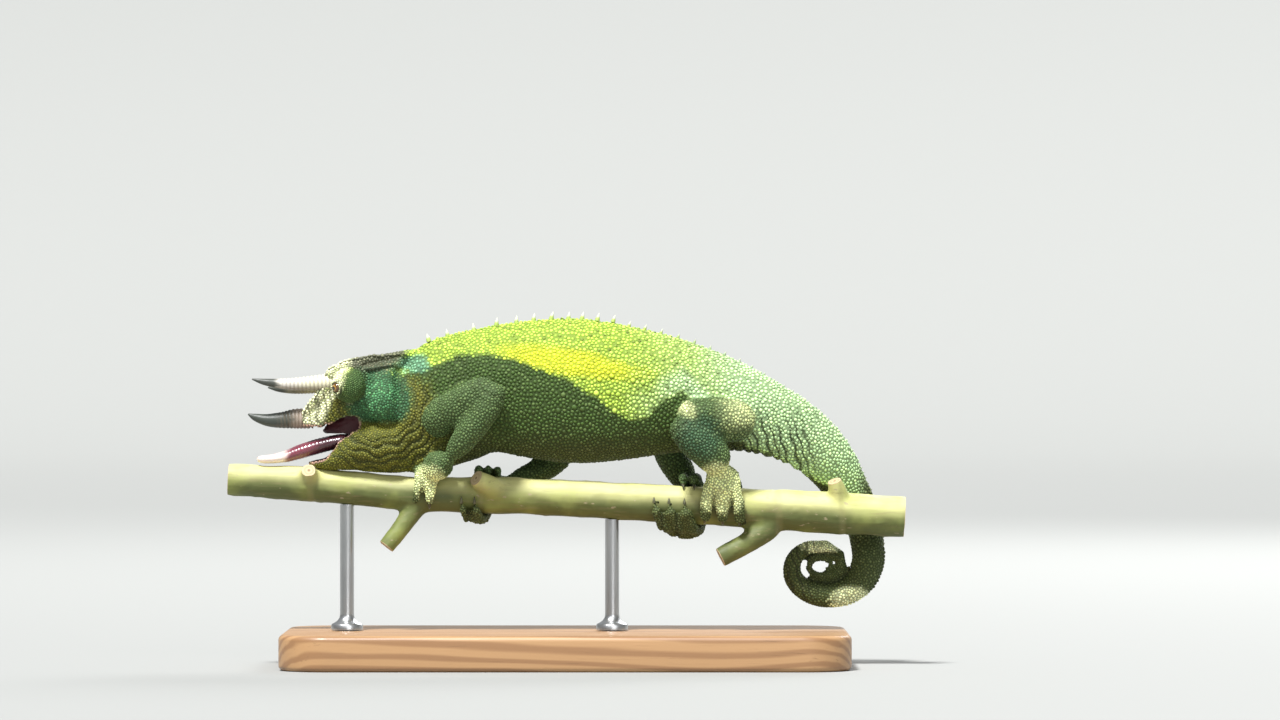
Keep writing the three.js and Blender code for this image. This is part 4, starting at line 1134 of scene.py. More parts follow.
def hide_colour(finish, tone, grain):
    """The hide's colour before the scales' own shades."""
    spot, (x, y, z) = finish.place()
    leg, mouth, fold = (finish.number(name) for name in ("leg", "mouth", "fold"))
    cloud = finish.noise(spot, 9, detail=3)
    ragged = (tone - 0.5) * 2.6 + (cloud - 0.5) * 6
    away_x, away_z = x - float(CHEEK_CENTRE[0]), z - float(CHEEK_CENTRE[1])
    from_cheek = (away_x * away_x + away_z * away_z) ** 0.5
    colour = trunk_colour(finish, x, y, z, ragged, tone)
    throat = (z + ragged).step(84, 79) * (x + (z - 70) * 0.35 + ragged).step(-32, -40)
    colour = finish.mix(colour, OLIVE_THROAT, throat)
    colour = face_colour(finish, colour, x, y, z, ragged, grain, from_cheek)
    legs = leg_colour(finish, x, y, z, ragged)
    sway = (x * 0.9 + z * 0.35).sine() * 0.5 + (z * 1.1 - x * 0.4).sine() * 0.35
    rings = ((from_cheek + sway) * (2 * math.pi / FOLD_PITCH["throat"]) + math.pi / 2).sine().step(0.1, 0.9)
    off_legs = 1 - leg.step(0.2, 0.5)
    throat_lines = rings * throat * from_cheek.step(9, 12) * from_cheek.step(25, 19) * off_legs
    pleats = ((x + (z - 60) * 0.3 + sway * 0.8) * (2 * math.pi / FOLD_PITCH["hip"]) + math.pi / 2).sine()
    hip_lines = pleats.step(0.2, 0.95) * x.step(44, 49) * x.step(74, 66) * (z + ragged).step(74, 66)
    # Folds, throat rings and hip pleats are darkened in their grooves as painted shade.
    dark = (fold * 0.4).most(throat_lines * 0.6).most(hip_lines * off_legs * 0.8)
    lip = finish.mix(LIP_PINK, LIP_GREEN, z.step(68.9, 69.7))
    # The lining is its own dark red, turning near black low in the mouth as painted shade in the cavity.
    lining = finish.mix(MOUTH_PAINTED_SHADE, MOUTH_RED, (z + (cloud - 0.5) * 3).step(64.5, 67.5))
    colour = finish.paint(
        colour, (legs, leg.step(0.25, 0.6)), (PAINTED_CREVICE_SHADE, dark),
        (lip, mouth.step(0.02, 0.12)), (lining, mouth.step(0.4, 0.6)),
    )
    return spot, colour, mouth


# %% Materials of the skin and the scales
HIDE = {
    "Subsurface_Weight": 0.05, "Subsurface_Radius": (0.0012, 0.0006, 0.0003), "Specular_IOR_Level": 0.3,
}


def skin_finish():
    finish = Finish("hide_skin", **HIDE)
    spot, _ = finish.place()
    tone = finish.noise(spot, 1.1, detail=1)
    spot, colour, mouth = hide_colour(finish, tone, tone)
    # The bare skin shows only between the scales and is darkened there as painted shade, except in the mouth.
    dark = finish.mix(colour, (0.03, 0.04, 0.012), 0.62 * (1 - mouth.step(0.2, 0.5)))
    grain = finish.noise(spot, 0.5, detail=3)
    finish.set(
        Base_Color=dark,
        Roughness=0.75 - 0.33 * mouth.step(0.2, 0.5),
        Normal=finish.bump(grain, 0.12, 0.6),
    )
    return finish.material


def scale_finish():
    finish = Finish("hide_scales", **HIDE)
    tone = finish.number("tone")
    rise = finish.number("rise")
    spot, colour, _ = hide_colour(finish, tone, tone)
    # Some scales are lighter at random, most so at their tops, and every top takes a pale sheen: painted
    # light on the domes.
    painted_dome_light = finish.mix(colour, (1.4, 1.4, 1.2), tone.step(0.5, 1.0) * rise * 0.8, how="MULTIPLY")
    painted_dome_light = finish.mix(painted_dome_light, (1.0, 1.0, 0.62), (tone.step(0.7, 1.0) * 0.05 + 0.02) * rise)
    rows = finish.noise(spot, 1.5, detail=1, scale=(1, 1, 0.45))
    fine = finish.noise(spot, 0.35, detail=3)
    # The base of each scale is darkened as painted shade in the gaps between scales. The other dark marks are
    # random tone and grain.
    shaded = finish.paint(
        painted_dome_light, ((0.02, 0.03, 0.006), tone.step(0.45, 0.0) * 0.3),
        ((0.05, 0.075, 0.012), rows.step(0.6, 0.7) * 0.5), (PAINTED_CREVICE_SHADE, (1 - rise).step(0.15, 0.9) * 0.85),
        ((0.0, 0.0, 0.0), fine.step(0.62, 0.8) * 0.18),
    )
    finish.set(
        Base_Color=shaded,
        Roughness=0.42 + 0.2 * fine + 0.1 * tone,
        Normal=finish.bump(fine, 0.05, 0.6),
    )
    return finish.material


SKIN = skin_finish()
SCALES = scale_finish()
finish_piece(skin, SKIN, FLESH)

# %% Make the coat region by region
scale_part = skin_part[skin_faces[scale_face][:, 0]]
REGIONS = {
    "coat_head": HEAD_NODES,
    "coat_neck": ["neck"],
    "coat_torso": ["torso"],
    "coat_tail": ["tail_base", "tail_bend"],
    "coat_coil": ["tail_coil_outer", "tail_coil_tip"],
    "coat_front_legs": FRONT_LEG_NODES,
    "coat_hind_legs": HIND_LEG_NODES,
}
for name, nodes in REGIONS.items():
    coat_piece(name, np.flatnonzero(np.isin(scale_part, [FLESH.index(node) for node in nodes])), SCALES)
for guide in flesh_guides.values():
    bpy.data.objects.remove(guide)

# %% [markdown]
# ## Forms drawn out from a circle
#
# Horns, claws, crest spines and rods are all round forms that taper. Each starts as a circle that
# is extruded ring by ring, and every ring is moved, turned and resized, as by hand. With no window
# the rotate operator turns the other way, so its angles are given with the opposite sign.

# %% Draw out a tapering form
def smooth_line(stations, count):
    """Evenly many rows on the smooth curve through a few rows of numbers."""
    rows = np.array(stations, float)
    rows = np.vstack([2 * rows[0] - rows[1], rows, 2 * rows[-1] - rows[-2]])
    place = np.linspace(0, len(rows) - 3, count)
    first = np.minimum(place.astype(int), len(rows) - 4)
    t = (place - first)[:, None]
    a, b, c, d = (rows[first + i] for i in range(4))
    return 0.5 * (2 * b + (c - a) * t + (2 * a - 5 * b + 4 * c - d) * t**2 + (3 * b - a - 3 * c + d) * t**3)


def drawn_out(name, rings, sides=16):
    """A closed form from rings of X, Y, Z and radius in millimetres."""
    rings = np.array(rings, float)
    middles = [Vector(ring[:3]) * MM for ring in rings]
    ways = [(after - before).normalized() for before, after in zip(middles, middles[1:])]
    ways = [ways[0]] + [(a + b).normalized() for a, b in zip(ways, ways[1:])] + [ways[-1]]
    turn = Vector((0, 0, 1)).rotation_difference(ways[0]).to_euler()
    select_only()
    bpy.ops.mesh.primitive_circle_add(
        vertices=sides, radius=rings[0][3] * MM, fill_type="NGON", location=middles[0], rotation=turn
    )
    piece = bpy.context.object
    piece.name = name
    edit(piece, "FACE")
    for i in range(1, len(rings)):
        size = rings[i][3] / rings[i - 1][3]
        turn = ways[i - 1].rotation_difference(ways[i]).to_euler("XYZ")
        bpy.ops.mesh.extrude_region_move(TRANSFORM_OT_translate={"value": middles[i] - middles[i - 1]})
        bpy.ops.transform.resize(value=(size, size, size), center_override=middles[i])
        for axis, angle in zip("XYZ", turn):
            if abs(angle) > 1e-6:
                bpy.ops.transform.rotate(value=-angle, orient_axis=axis, center_override=middles[i])
    bpy.ops.mesh.select_all(action="SELECT")
    bpy.ops.mesh.normals_make_consistent(inside=False)
    close_edit()
    shade(piece, 50)
    apply_place(piece)
    return piece


def joined(name, pieces):
    select_only(*pieces)
    bpy.ops.object.join()
    piece = bpy.context.view_layer.objects.active
    piece.name = name
    piece.data.name = name
    return piece


# %% [markdown]
# ## Horns
#
# A male carries three horns, one on the snout and one over each eye. They are bone under a ringed
# sheath of horn: pale and finely ringed near the root, dark and smooth towards the tip. The rings
# are in the mesh, because they show against the light.

# %% Horns with rings
BROW_HORN = [
    (-64, 3.8, 80.4, 2.5), (-69, 4.5, 80.2, 2.3), (-74.5, 4.9, 79.9, 1.92),
    (-80, 5.2, 79.9, 1.47), (-85, 5.4, 80.4, 0.95), (-88.6, 5.5, 81.2, 0.2),
]
NOSE_HORN = [
    (-72.4, 0, 70, 2.85), (-76.5, 0, 70, 2.85), (-80.5, 0, 69.6, 2.3),
    (-84.5, 0, 69.6, 1.75), (-88, 0, 70.4, 1.05), (-90, 0, 71.3, 0.22),
]
RIGHT_HORN_LENGTH = 0.84  # share of the left one's length
RIGHT_HORN_DROP = 2.4  # how much lower its tip hangs
RING_STEPS = (0.0, 0.25, 0.6)  # a groove, the foot of the ring and its crest
RING_DEPTH = 0.08
HORN_SIDES = 20


def brow_horn(side):
    """The rows of numbers of a horn over one eye. The right one is shorter and hangs lower."""
    if side == LEFT:
        return [(x, -y, z, radius) for x, y, z, radius in BROW_HORN]
    root_x, last = BROW_HORN[0][0], len(BROW_HORN) - 1
    return [
        (root_x + (x - root_x) * RIGHT_HORN_LENGTH, y, z - RIGHT_HORN_DROP * i / last, radius)
        for i, (x, y, z, radius) in enumerate(BROW_HORN)
    ]


def horn(name, stations, rings, ringed_share):
    """A horn whose ringed part has a groove and a crest for each ring."""
    steps = [(i + step) / rings * ringed_share for i in range(rings) for step in RING_STEPS]
    steps += list(np.linspace(ringed_share, 1, 14))
    fine = smooth_line(stations, 400)
    rows, grooves = [], []
    for share in steps:
        row = fine[int(round(share * 399))].copy()
        phase = (share / ringed_share * rings) % 1
        fade = 1 - smoothstep(np.array(share), ringed_share * 0.7, ringed_share)
        crest = math.sin(math.pi * phase) if share < ringed_share else 0.8
        row[3] *= 1 + RING_DEPTH * (crest - 0.9) * fade
        rows.append(row)
        grooves.append((1 - crest) * fade)
    piece = drawn_out(name, rows, sides=HORN_SIDES)
    carry(piece, {"groove": np.repeat(grooves, HORN_SIDES)})
    return piece


def horn_finish(name, pale, middle, dark, middle_from, dark_from, under):
    """Pale at the root and dark from a place onwards, with painted shade in brown below a height and
    in the grooves between rings.
    """
    finish = Finish(name)
    spot, (x, y, z) = finish.place()
    cloud = finish.noise(spot, 1.2, detail=4, scale=(0.35, 1, 1))
    fibre = finish.noise(spot, 0.35, detail=4, scale=(0.2, 1, 1))
    shade = x + (cloud - 0.5) * 3
    # Painted shade: brown on the underside, and darker in the grooves between the rings.
    underside_shade = (z + (cloud - 0.5) * 0.8).step(under, under - 1)
    colour = finish.paint(
        pale, (middle, shade.step(middle_from, middle_from - 6)), ((0.07, 0.045, 0.04), underside_shade * 0.6),
        (dark, shade.step(dark_from, dark_from - 2.5)),
        ((0.16, 0.12, 0.08), finish.number("groove") * (0.4 + 0.3 * cloud)),
        ((0.9, 0.86, 0.76), fibre.step(0.6, 0.85) * 0.25),
    )
    finish.set(
        Base_Color=colour,
        Roughness=0.36 + 0.22 * fibre,
        Normal=finish.bump(fibre, 0.06, 0.7),
    )
    return finish.material


BROW_SHEATH = horn_finish(
    "brow_horn_sheath", (0.78, 0.75, 0.56), (0.66, 0.62, 0.55), (0.05, 0.055, 0.045),
    middle_from=-72, dark_from=-80, under=79.4,
)
# The right horn's sheath is a darker copy of the left one's, as painted shade.
RIGHT_SHEATH_SHADED = horn_finish(
    "right_horn_sheath_shaded", (0.34, 0.29, 0.18), (0.20, 0.18, 0.12), (0.05, 0.055, 0.045),
    middle_from=-72, dark_from=-78.5, under=77.4,
)
NOSE_SHEATH = horn_finish(
    "nose_horn_sheath", (0.38, 0.30, 0.24), (0.10, 0.10, 0.08), (0.042, 0.050, 0.040),
    middle_from=-73.8, dark_from=-76.4, under=68.4,
)
for side, word, sheath in ((LEFT, "left", BROW_SHEATH), (RIGHT, "right", RIGHT_SHEATH_SHADED)):
    piece = horn(f"horn_sheath_brow_{word}", brow_horn(side), rings=18, ringed_share=0.72)
    finish_piece(piece, sheath, [f"horn_brow_{word}"])
piece = horn("horn_sheath_nose", NOSE_HORN, rings=10, ringed_share=0.5)
finish_piece(piece, NOSE_SHEATH, ["horn_nose"])

# %% [markdown]
# ## Crest spines
#
# A row of small cones runs down the back, tallest over the shoulders. One is modelled and the rest
# are copies of its points, each from the skin to the tip that the frame gives it.

# %% One spine, copied to each tip
SPINE = [
    (0.0, 0, -0.5, 1.0), (0.02, 0, 0.25, 0.9), (0.07, 0, 0.8, 0.7),
    (0.13, 0, 1.4, 0.48), (0.17, 0, 1.95, 0.26), (0.18, 0, 2.3, 0.08),
]
SPINE_TIP = Vector(SPINE[-1][:3])
SPINE_HEIGHT = (2.0, 1.15, 0.7, 0.5)  # millimetres over the skin at CREST_X
model = drawn_out("spine_model", SPINE, sides=9)
model_points = points_of(model)
spine_copies = []
for tip, _ in crest_tips:
    root, normal, _ = on_skin(tip)
    length = np.interp(tip[0], CREST_X, SPINE_HEIGHT)
    turn = SPINE_TIP.rotation_difference(Vector(tip - root)).to_matrix()
    size = min(length, np.linalg.norm(tip - root)) / SPINE_TIP.length
    wide = max(0.85 * size, 0.42)
    copy = own_copy(model)
    shaped = model_points * (wide, wide, size)
    move_points(copy, shaped @ np.array(turn).T + root)
    carry(copy, {"rise": np.clip(model_points[:, 2] / 2.3, 0, 1)})
    spine_copies.append(copy)
bpy.data.objects.remove(model)
spines = joined("crest_spines", spine_copies)


def spine_finish():
    finish = Finish("crest_spine", Subsurface_Weight=0.05)
    spot, (x, y, z) = finish.place()
    rise = finish.number("rise")
    cloud = finish.noise(spot, 0.6, detail=3)
    root = finish.mix((0.34, 0.46, 0.09), (0.28, 0.40, 0.22), x.step(20, 50))
    # Painted shade: spines low on the tail are darker, and the pale tips turn grey towards the tail.
    root = finish.mix(root, (0.12, 0.13, 0.05), z.step(56, 48))
    tip = finish.mix((0.62, 0.64, 0.50), (0.40, 0.42, 0.32), x.step(10, 40))
    tip = finish.mix(tip, (0.16, 0.16, 0.09), z.step(56, 48))
    colour = finish.mix(root, tip, (rise + (cloud - 0.5) * 0.3).step(0.15, 0.6))
    finish.set(Base_Color=colour, Roughness=0.45 + 0.2 * cloud, Normal=finish.bump(cloud, 0.08, 0.5))
    return finish.material


finish_piece(spines, spine_finish())

# %% [markdown]
# ## Claws
#
# Each toe ends in a hooked claw that lies along the bark. A claw follows a circle round the branch,
# so its rings are found by going back from its tip along that circle.

# %% Claws round the branch
TIP_LIFT = 0.41  # how far a claw's tip stands off the bark in the frame


def claw(tip, along, length, radius):
    at, side, height = tip
    rise = height - branch_height(at)
    bark = math.hypot(side, rise) - TIP_LIFT
    angle = math.atan2(rise, -side)
    forward = 1 if along[1] * math.sin(angle) + along[2] * math.cos(angle) > 0 else -1
    rings = []
    for share in np.linspace(0, 1, 9):
        around = angle - forward * (1 - share) * length / bark
        thick = radius * (1 - share) ** 0.8 + 0.05
        away = bark + 0.28 + 0.9 * thick + 0.3 * math.sin(math.pi * share)
        rings.append((at, -math.cos(around) * away, branch_height(at) + math.sin(around) * away, thick))
    return drawn_out("claw", rings, sides=8)


CLAW_SIZES = {  # length and radius at the root
    "front_foot_left": (1.8, 0.46),
    "front_foot_right": (1.8, 0.46),
    "hind_foot_left": (1.8, 0.50),
    "hind_foot_right": (1.5, 0.46),
}
SAME_TIP = 1.2  # tips nearer to each other than this count as one
claws = []
for node, tips in claw_tips.items():
    length, radius = CLAW_SIZES[node]
    kept = []
    for tip, along_tip in tips:
        if all(np.linalg.norm(tip - other) > SAME_TIP for other in kept):
            kept.append(tip)
            claws.append(claw(tip, along_tip, length, radius))
print("claws:", len(claws))


def claw_finish():
    finish = Finish("claw_horn")
    spot, _ = finish.place()
    fibre = finish.noise(spot, 0.5, detail=4)
    colour = finish.mix((0.10, 0.10, 0.05), (0.045, 0.045, 0.022), fibre.step(0.35, 0.75))
    finish.set(Base_Color=colour, Roughness=0.28 + 0.2 * fibre, Normal=finish.bump(fibre, 0.04, 0.5))
    return finish.material


finish_piece(joined("claws", claws), claw_finish())

# %% [markdown]
# ## Eyes
#
# The lids are fused over the whole eye and leave only a small round opening, so little more than
# the pupil shows. The ball is a sphere whose cornea is pulled forward, with a gold ring round a
# black pupil. Both colours follow the distance from the ball's foremost point.

# %% Eyeballs
BALL_AHEAD = 4.15
BALL_RADIUS = 1.62
CORNEA_RISE = 0.14


def eye_finish():
    finish = Finish("eye", Coat_Roughness=0.03, IOR=1.38)
    spot, (x, y, z) = finish.place()
    pole = (EYE_CENTRE + EYE_AXIS * (BALL_AHEAD + BALL_RADIUS + CORNEA_RISE)) * MM
    mirrored = finish.node("CombineXYZ", {}, {0: x * MM, 1: y.absolute() * MM, 2: z * MM})
    away = finish.vector("DISTANCE", mirrored, tuple(pole)) * (1 / MM)
    rays = finish.noise(spot, 0.15, detail=4)
    iris = finish.mix((0.38, 0.22, 0.05), (0.10, 0.05, 0.015), (away + (rays - 0.5) * 0.5).step(0.7, 1.05))
    colour = finish.mix((0.004, 0.004, 0.004), iris, (away + (rays - 0.5) * 0.12).step(0.5, 0.6))
    finish.set(Base_Color=colour, Roughness=0.06 + 0.04 * rays, Coat_Weight=0.8 + 0.2 * rays)
    return finish.material


EYE = eye_finish()
for side, word in BOTH_SIDES:
    centre, axis = (Vector(part) for part in eye_on(side))
    middle = centre + axis * BALL_AHEAD
    select_only()
    bpy.ops.mesh.primitive_uv_sphere_add(
        segments=32, ring_count=20, radius=BALL_RADIUS * MM, location=middle * MM,
        rotation=axis.to_track_quat("Z", "Y").to_euler(),
    )
    ball = bpy.context.object
    ball.name = f"eye_{word}"
    apply_place(ball)
    pick(ball, "vertices", lambda point: (point.co / MM - middle).dot(axis) > BALL_RADIUS * 0.72)
    bpy.ops.transform.translate(value=axis * CORNEA_RISE * MM)
    close_edit()
    shade(ball)
    finish_piece(ball, EYE, [f"eyeball_{word}"])

# %% [markdown]
# ## Tongue
#
# The tongue lies out of the mouth with its pale pad on the branch. It is a wet muscle with fine
# cross wrinkles, maroon at the root; the maroon is partly painted shade, and the root by the mouth
# is near black with painted shade. A remeshed copy of its solid keeps the course, and the wrinkles
# are pressed into the points.

# %% Tongue
tongue = merged_copy("tongue_muscle", ["tongue"])
remesh(tongue, 0.32)
smooth(tongue, 14)
tongue_points, tongue_normals = points_of(tongue), normals_of(tongue)
tx, ty, tz = tongue_points.T
pad = smoothstep(tx, -80, -84)
wrinkle = 0.10 * wave((tx + 0.25 * np.sin(tz * 1.7 + ty)) / 0.95) * (1 - 0.6 * pad)
groove = -0.32 * bell(ty + 1.2, 0.5) * (tongue_normals[:, 2] > 0.3) * smoothstep(tx, -66, -72)
TONGUE_INSET = 0.06  # keeps the finished tongue inside its solid
tongue_points += tongue_normals * (wrinkle + groove - TONGUE_INSET)[:, None]
move_points(tongue, tongue_points)
smooth(tongue, 1)
shade(tongue)


def tongue_finish():
    radius = (0.002, 0.0008, 0.0005)
    finish = Finish("tongue_wet", Coat_Roughness=0.08, Subsurface_Weight=0.12, Subsurface_Radius=radius)
    spot, (x, y, z) = finish.place()
    cloud = finish.noise(spot, 1.6, detail=4)
    papillae = finish.noise(spot, 0.3, detail=2)
    shade = x + (cloud - 0.5) * 3.5
    # The maroon behind the pad is partly painted shade, and the near-black root by the mouth is painted
    # shade.
    colour = finish.paint(
        (0.80, 0.64, 0.58), ((0.17, 0.035, 0.055), shade.step(-80.6, -77.6)),
        ((0.05, 0.012, 0.018), shade.step(-74, -68)),
        ((0.92, 0.78, 0.74), papillae.step(0.55, 0.8) * x.step(-79, -82) * 0.6),
    )
    finish.set(
        Base_Color=colour,
        Roughness=0.18 + 0.25 * papillae,
        Coat_Weight=0.4 + 0.4 * cloud,
        Normal=finish.bump(papillae, 0.08, 0.6),
    )
    return finish.material


finish_piece(tongue, tongue_finish(), ["tongue"])

# %% [markdown]
# ## The branch
#
# The perch is a short cut length of young branch with smooth green-yellow bark, fine length lines,
# small pores, and the stubs of cut twigs. Its solid is remeshed and smoothed like the skin, then
# every end is cut flat again with Bisect, which fills the cut.

# %% Branch form
BRANCH_ENDS = [  # a point of the cut, the way that it faces, and the radius there
    ((-95.7, 0, 52.8), (-1, 0, 0.055), 4.7),
    ((95.9, 0, 42.2), (1, 0, -0.055), 5.9),
    ((-50.8, -3.6, 33.8), (-3.2, -0.8, -4.0), 2.7),
    ((43.5, -3.6, 30.8), (-6.5, -0.8, -3.4), 3.1),
    ((-72.5, -6.6, 55.6), (-0.2, -3.2, 2.0), 2.2),
    ((-25.4, -7.8, 53.4), (-3.9, -3.2, 2.6), 2.6),
    ((75.8, -4.6, 52.6), (-1.4, -1.7, 4.4), 2.3),
]
CUT_BACK = 0.15
LEAF_SCARS = (-72, -24, 60, 78)  # X of the rings that old leaves left
PORES = 160
SPARE = 1.6  # the ends are drawn out by this much, so that smoothing can't round the cuts
branch = merged_copy("branch_bark", ["perch_branch"])
remesh(branch, 0.6)
bark_points = points_of(branch)
for place, way, radius in BRANCH_ENDS:
    way = np.array(way) / np.linalg.norm(way)
    offset = bark_points - place
    cap = (offset @ way > -0.5) & (np.linalg.norm(offset, axis=1) < radius * 1.4)
    bark_points[cap] += way * SPARE
move_points(branch, bark_points)
smooth(branch, 24)
bark_points, bark_normals = points_of(branch), normals_of(branch)
bx, by, bz = bark_points.T
around = np.arctan2(bz - branch_height(bx), -by)
lines = np.sin(around * 13 + 1.5 * np.sin(bx * 0.11)) * np.sin(around * 5 + bx * 0.05)
lumps = np.sin(bx * 0.45 + 2 * np.sin(around)) * np.sin(around * 2 + bx * 0.13)
scars = np.zeros(len(bark_points))
for at in LEAF_SCARS:
    scars += bell(bx - at - 0.8 * np.sin(around + at), 0.55)
bark_points += bark_normals * (0.05 * lines + 0.12 * lumps - 0.16 * scars - 0.02)[:, None]
pores = rng.choice(len(bark_points), PORES, replace=False)
for pore in pores:
    offset = bark_points - bark_points[pore]
    gap = np.sqrt((offset[:, 0] / 1.6) ** 2 + offset[:, 1] ** 2 + offset[:, 2] ** 2)
    bark_points += bark_normals * (0.13 * bell(gap, 0.5))[:, None]
move_points(branch, bark_points)
for place, way, radius in BRANCH_ENDS:
    place, way = Vector(place), Vector(way).normalized()
    pick(branch, "polygons", lambda face: (face.center / MM - place).length < radius * 1.75)
    bpy.ops.mesh.bisect(
        plane_co=(place - way * CUT_BACK) * MM, plane_no=way, use_fill=True, clear_outer=True
    )
    close_edit()
shade(branch, 50)
print("branch points:", len(branch.data.vertices))

# %% Bark and cut wood
def bark_finish():
    finish = Finish("bark_green")
    spot, (x, y, z) = finish.place()
    length_lines = finish.noise(spot, 1.1, detail=5, roughness=0.6, scale=(0.12, 1, 1))
    cloud = finish.noise(spot, 14, detail=4)
    fleck = finish.noise(spot, 1.2, detail=2, scale=(0.5, 1, 1))
    middle = x * BRANCH["slope"] + BRANCH["z"]
    # The bark is pale yellow on top and dark green below: painted sunlight and painted shade over its own
    # green.
    colour = finish.paint(
        (0.085, 0.105, 0.025), ((0.62, 0.60, 0.25), (z - middle + (cloud - 0.5) * 4).step(-1.8, 4.4)),
        ((0.30, 0.34, 0.08), cloud.step(0.45, 0.75) * 0.6),
        ((0.23, 0.19, 0.09), length_lines.step(0.52, 0.75) * 0.5),
        ((0.34, 0.28, 0.17), fleck.step(0.66, 0.74) * 0.7),
    )
    for at in LEAF_SCARS:
        band = 1 - (x - at + (cloud - 0.5) * 2).absolute().step(0.3, 1.5)
        colour = finish.mix(colour, (0.24, 0.22, 0.09), band * 0.3)
    cut, rings = None, None
    for place, way, radius in BRANCH_ENDS:
        way = Vector(way).normalized()
        offset = finish.vector("SUBTRACT", spot, tuple(Vector(place) * MM), output="Vector")
        ahead = finish.vector("DOT_PRODUCT", offset, tuple(way)) * (1 / MM)
        away = finish.vector("LENGTH", offset) * (1 / MM)
        face = ahead.step(-0.3, -0.2) * away.step(radius * 1.5, radius * 1.4)
        ring = face * away
        cut = face if cut is None else cut.most(face)
        rings = ring if rings is None else rings.most(ring)
    growth = ((rings + (fleck - 0.5) * 0.4) * 6.5).sine() * 0.5 + 0.5
    wood = finish.mix((0.52, 0.41, 0.24), (0.36, 0.26, 0.13), growth * 0.55)
    wood = finish.mix(wood, (0.2, 0.13, 0.06), rings.step(0.55, 0.3) * 0.8)
    colour = finish.mix(colour, wood, cut)
    height = length_lines * 0.7 + fleck * 0.3
    finish.set(
        Base_Color=colour,
        Roughness=0.48 + 0.25 * length_lines + 0.1 * cut,
        Normal=finish.bump(height, 0.12, 0.7),
    )
    return finish.material


finish_piece(branch, bark_finish(), ["perch_branch"])

# %% [markdown]
# ## The stand
#
# A plain oiled wooden block and two steel rods hold the branch. The block is a cube with its
# upright edges rounded wide and its rims rounded narrow. The rods start at a flared foot.

# %% Wooden base
low, high = (Vector(corner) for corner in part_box("stand_base"))
select_only()
bpy.ops.mesh.primitive_cube_add(size=1, location=(low + high) / 2, scale=high - low)
base = bpy.context.object
base.name = "base_block"
apply_place(base)


def is_rim(edge):
    """Whether an edge runs round the top or the bottom."""
    heights = [base.data.vertices[i].co.z for i in edge.vertices]
    sides = [face for face in base.data.polygons if set(edge.vertices) <= set(face.vertices)]
    return abs(heights[0] - heights[1]) < 1e-6 and any(abs(face.normal.z) > 0.9 for face in sides)


def is_upright(edge):
    a, b = (base.data.vertices[i].co for i in edge.vertices)
    return abs(a.z - b.z) > 1e-6


for test, width, segments in ((is_upright, 14, 14), (is_rim, 1.5, 5)):
    pick(base, "edges", test)
    bpy.ops.mesh.bevel(offset=width * MM, segments=segments, profile=0.5, affect="EDGES")
    close_edit()
shade(base, 40)


def wood_finish():
    finish = Finish("oiled_wood", Coat_Roughness=0.25)
    spot, (x, y, z) = finish.place()
    wander = finish.noise(spot, 22, detail=3, scale=(0.12, 1, 1))
    rings = ((y * 0.9 + z * 1.4 + (wander - 0.5) * 26) * 1.1).sine() * 0.5 + 0.5
    fibre = finish.noise(spot, 0.7, detail=5, roughness=0.65, scale=(0.04, 1, 1))
    colour = finish.paint(
        (0.40, 0.23, 0.105), ((0.24, 0.12, 0.05), rings.step(0.25, 0.95) * 0.8),
        ((0.12, 0.06, 0.025), fibre.step(0.58, 0.75) * 0.5),
    )
    finish.set(
        Base_Color=colour,
        Roughness=0.4 + 0.2 * fibre,
        Coat_Weight=0.15 + 0.1 * rings,
        Normal=finish.bump(fibre * 0.7 + rings * 0.3, 0.12, 0.5),
    )
    return finish.material


finish_piece(base, wood_finish(), ["stand_base"])

# %% Steel rods
ROD_PROFILE = [(0, 4.5), (1.3, 4.5), (1.7, 4.2), (2.1, 3.4), (2.6, 2.7), (3.4, 2.15), (4.4, 2.0)]


def steel_finish():
    finish = Finish("brushed_steel")
    spot, (x, y, z) = finish.place()
    brushed = finish.noise(spot, 0.5, detail=3, scale=(1, 1, 6))
    cloud = finish.noise(spot, 12, detail=2)
    finish.set(
        Base_Color=finish.mix((0.42, 0.43, 0.44), (0.56, 0.57, 0.57), cloud),
        Metallic=0.97 + 0.03 * cloud,
        Roughness=0.24 + 0.16 * brushed,
        Normal=finish.bump(brushed, 0.02, 0.5),
    )
    return finish.material


STEEL = steel_finish()
for word in ("front", "rear"):
    low, high = (np.array(corner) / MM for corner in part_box(f"stand_rod_{word}"))
    middle = (low + high) / 2
    rings = [(middle[0], middle[1], low[2] + rise, radius) for rise, radius in ROD_PROFILE]
    rings.append((middle[0], middle[1], high[2], ROD_PROFILE[-1][1]))
    rod = drawn_out(f"rod_{word}", rings, sides=32)
    finish_piece(rod, STEEL, [f"stand_rod_{word}"])

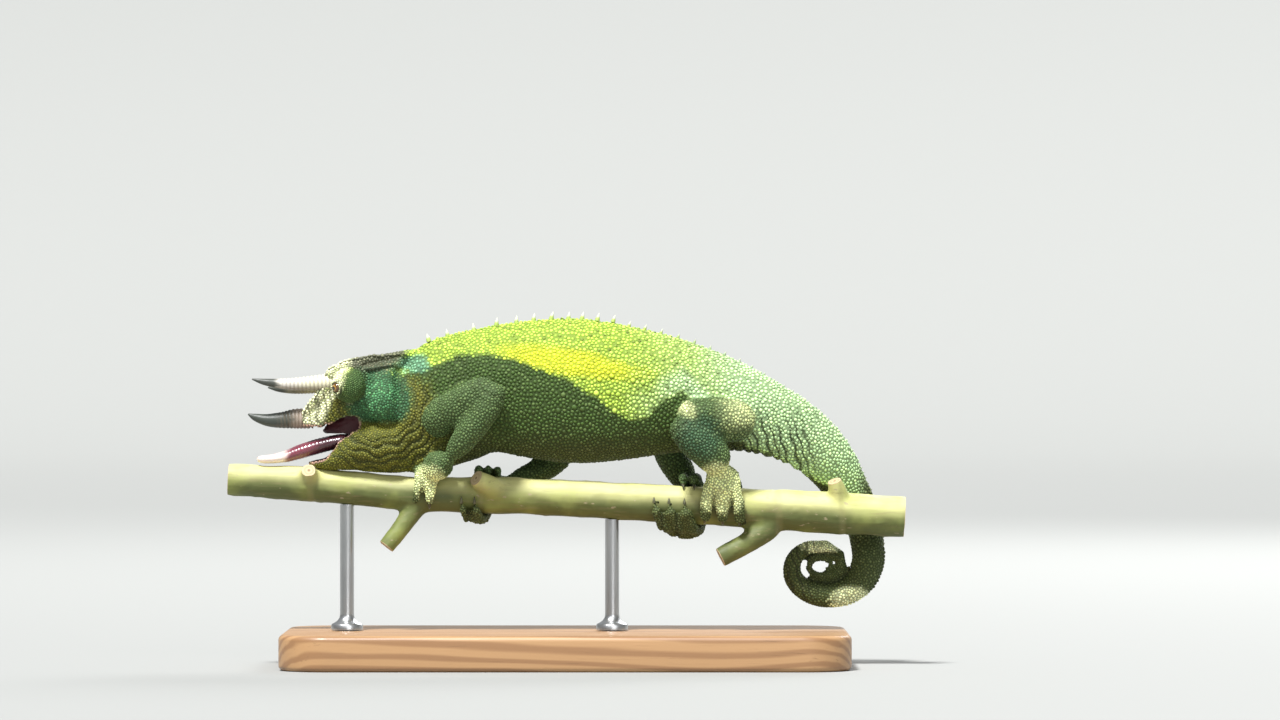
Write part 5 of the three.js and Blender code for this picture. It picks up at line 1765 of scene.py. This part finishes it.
# %% [markdown]
# ## Studio
#
# A plain pale floor runs into a round wall far behind through a rounded corner. One high lamp
# stands for the sun that lights the back and leaves the flank in shade, a wide weak one in front
# lifts the shadows, one behind draws the outline, and the world gives an even, cool fill. The
# Standard view keeps the strong greens that the default view would wash out.

# %% Floor, wall and light
COVE_RADIUS = 5
COVE_HEIGHT = 1.6
COVE_CORNER = 1.2
AIM = Vector((0, 0, 0.07))
LAMPS = {  # kind, place, power and softness: a sun's angle or an area's side
    "sun_lamp": ("SUN", (-0.35, -0.75, 1.5), 6.6, 0.19),
    "front_lamp": ("AREA", (0.5, -1.7, 0.75), 9, 1.0),
    "rim_lamp": ("AREA", (0.6, 1.2, 0.9), 12, 0.6),
}

select_only()
bpy.ops.mesh.primitive_cylinder_add(
    vertices=96, radius=COVE_RADIUS, depth=COVE_HEIGHT, location=(0, 0, COVE_HEIGHT / 2)
)
cove = bpy.context.object
cove.name = "studio_cove"
apply_place(cove)
pick(cove, "polygons", lambda face: face.normal.z > 0.9)
bpy.ops.mesh.delete(type="FACE")
close_edit()


def on_floor(edge):
    return all(abs(cove.data.vertices[i].co.z) < 1e-6 for i in edge.vertices)


pick(cove, "edges", on_floor)
bpy.ops.mesh.bevel(offset=COVE_CORNER, segments=12, affect="EDGES")
close_edit()
shade(cove, 40)
cove.data.materials.append(Finish("pale_floor", Roughness=0.85, Base_Color=(0.31, 0.315, 0.305, 1)).material)

for name, (kind, place, power, softness) in LAMPS.items():
    bpy.ops.object.light_add(type=kind, location=place)
    lamp = bpy.context.object
    lamp.name = name
    setattr(lamp.data, "angle" if kind == "SUN" else "size", softness)
    lamp.data.energy = power
    lamp.rotation_euler = (AIM - Vector(place)).to_track_quat("-Z", "Y").to_euler()

world = bpy.data.worlds.new("studio_light")
world.use_nodes = True
world.node_tree.nodes["Background"].inputs["Color"].default_value = (0.92, 0.96, 1, 1)
world.node_tree.nodes["Background"].inputs["Strength"].default_value = 0.4
bpy.context.scene.world = world
bpy.context.scene.view_settings.view_transform = "Standard"
print("lamps:", list(LAMPS))
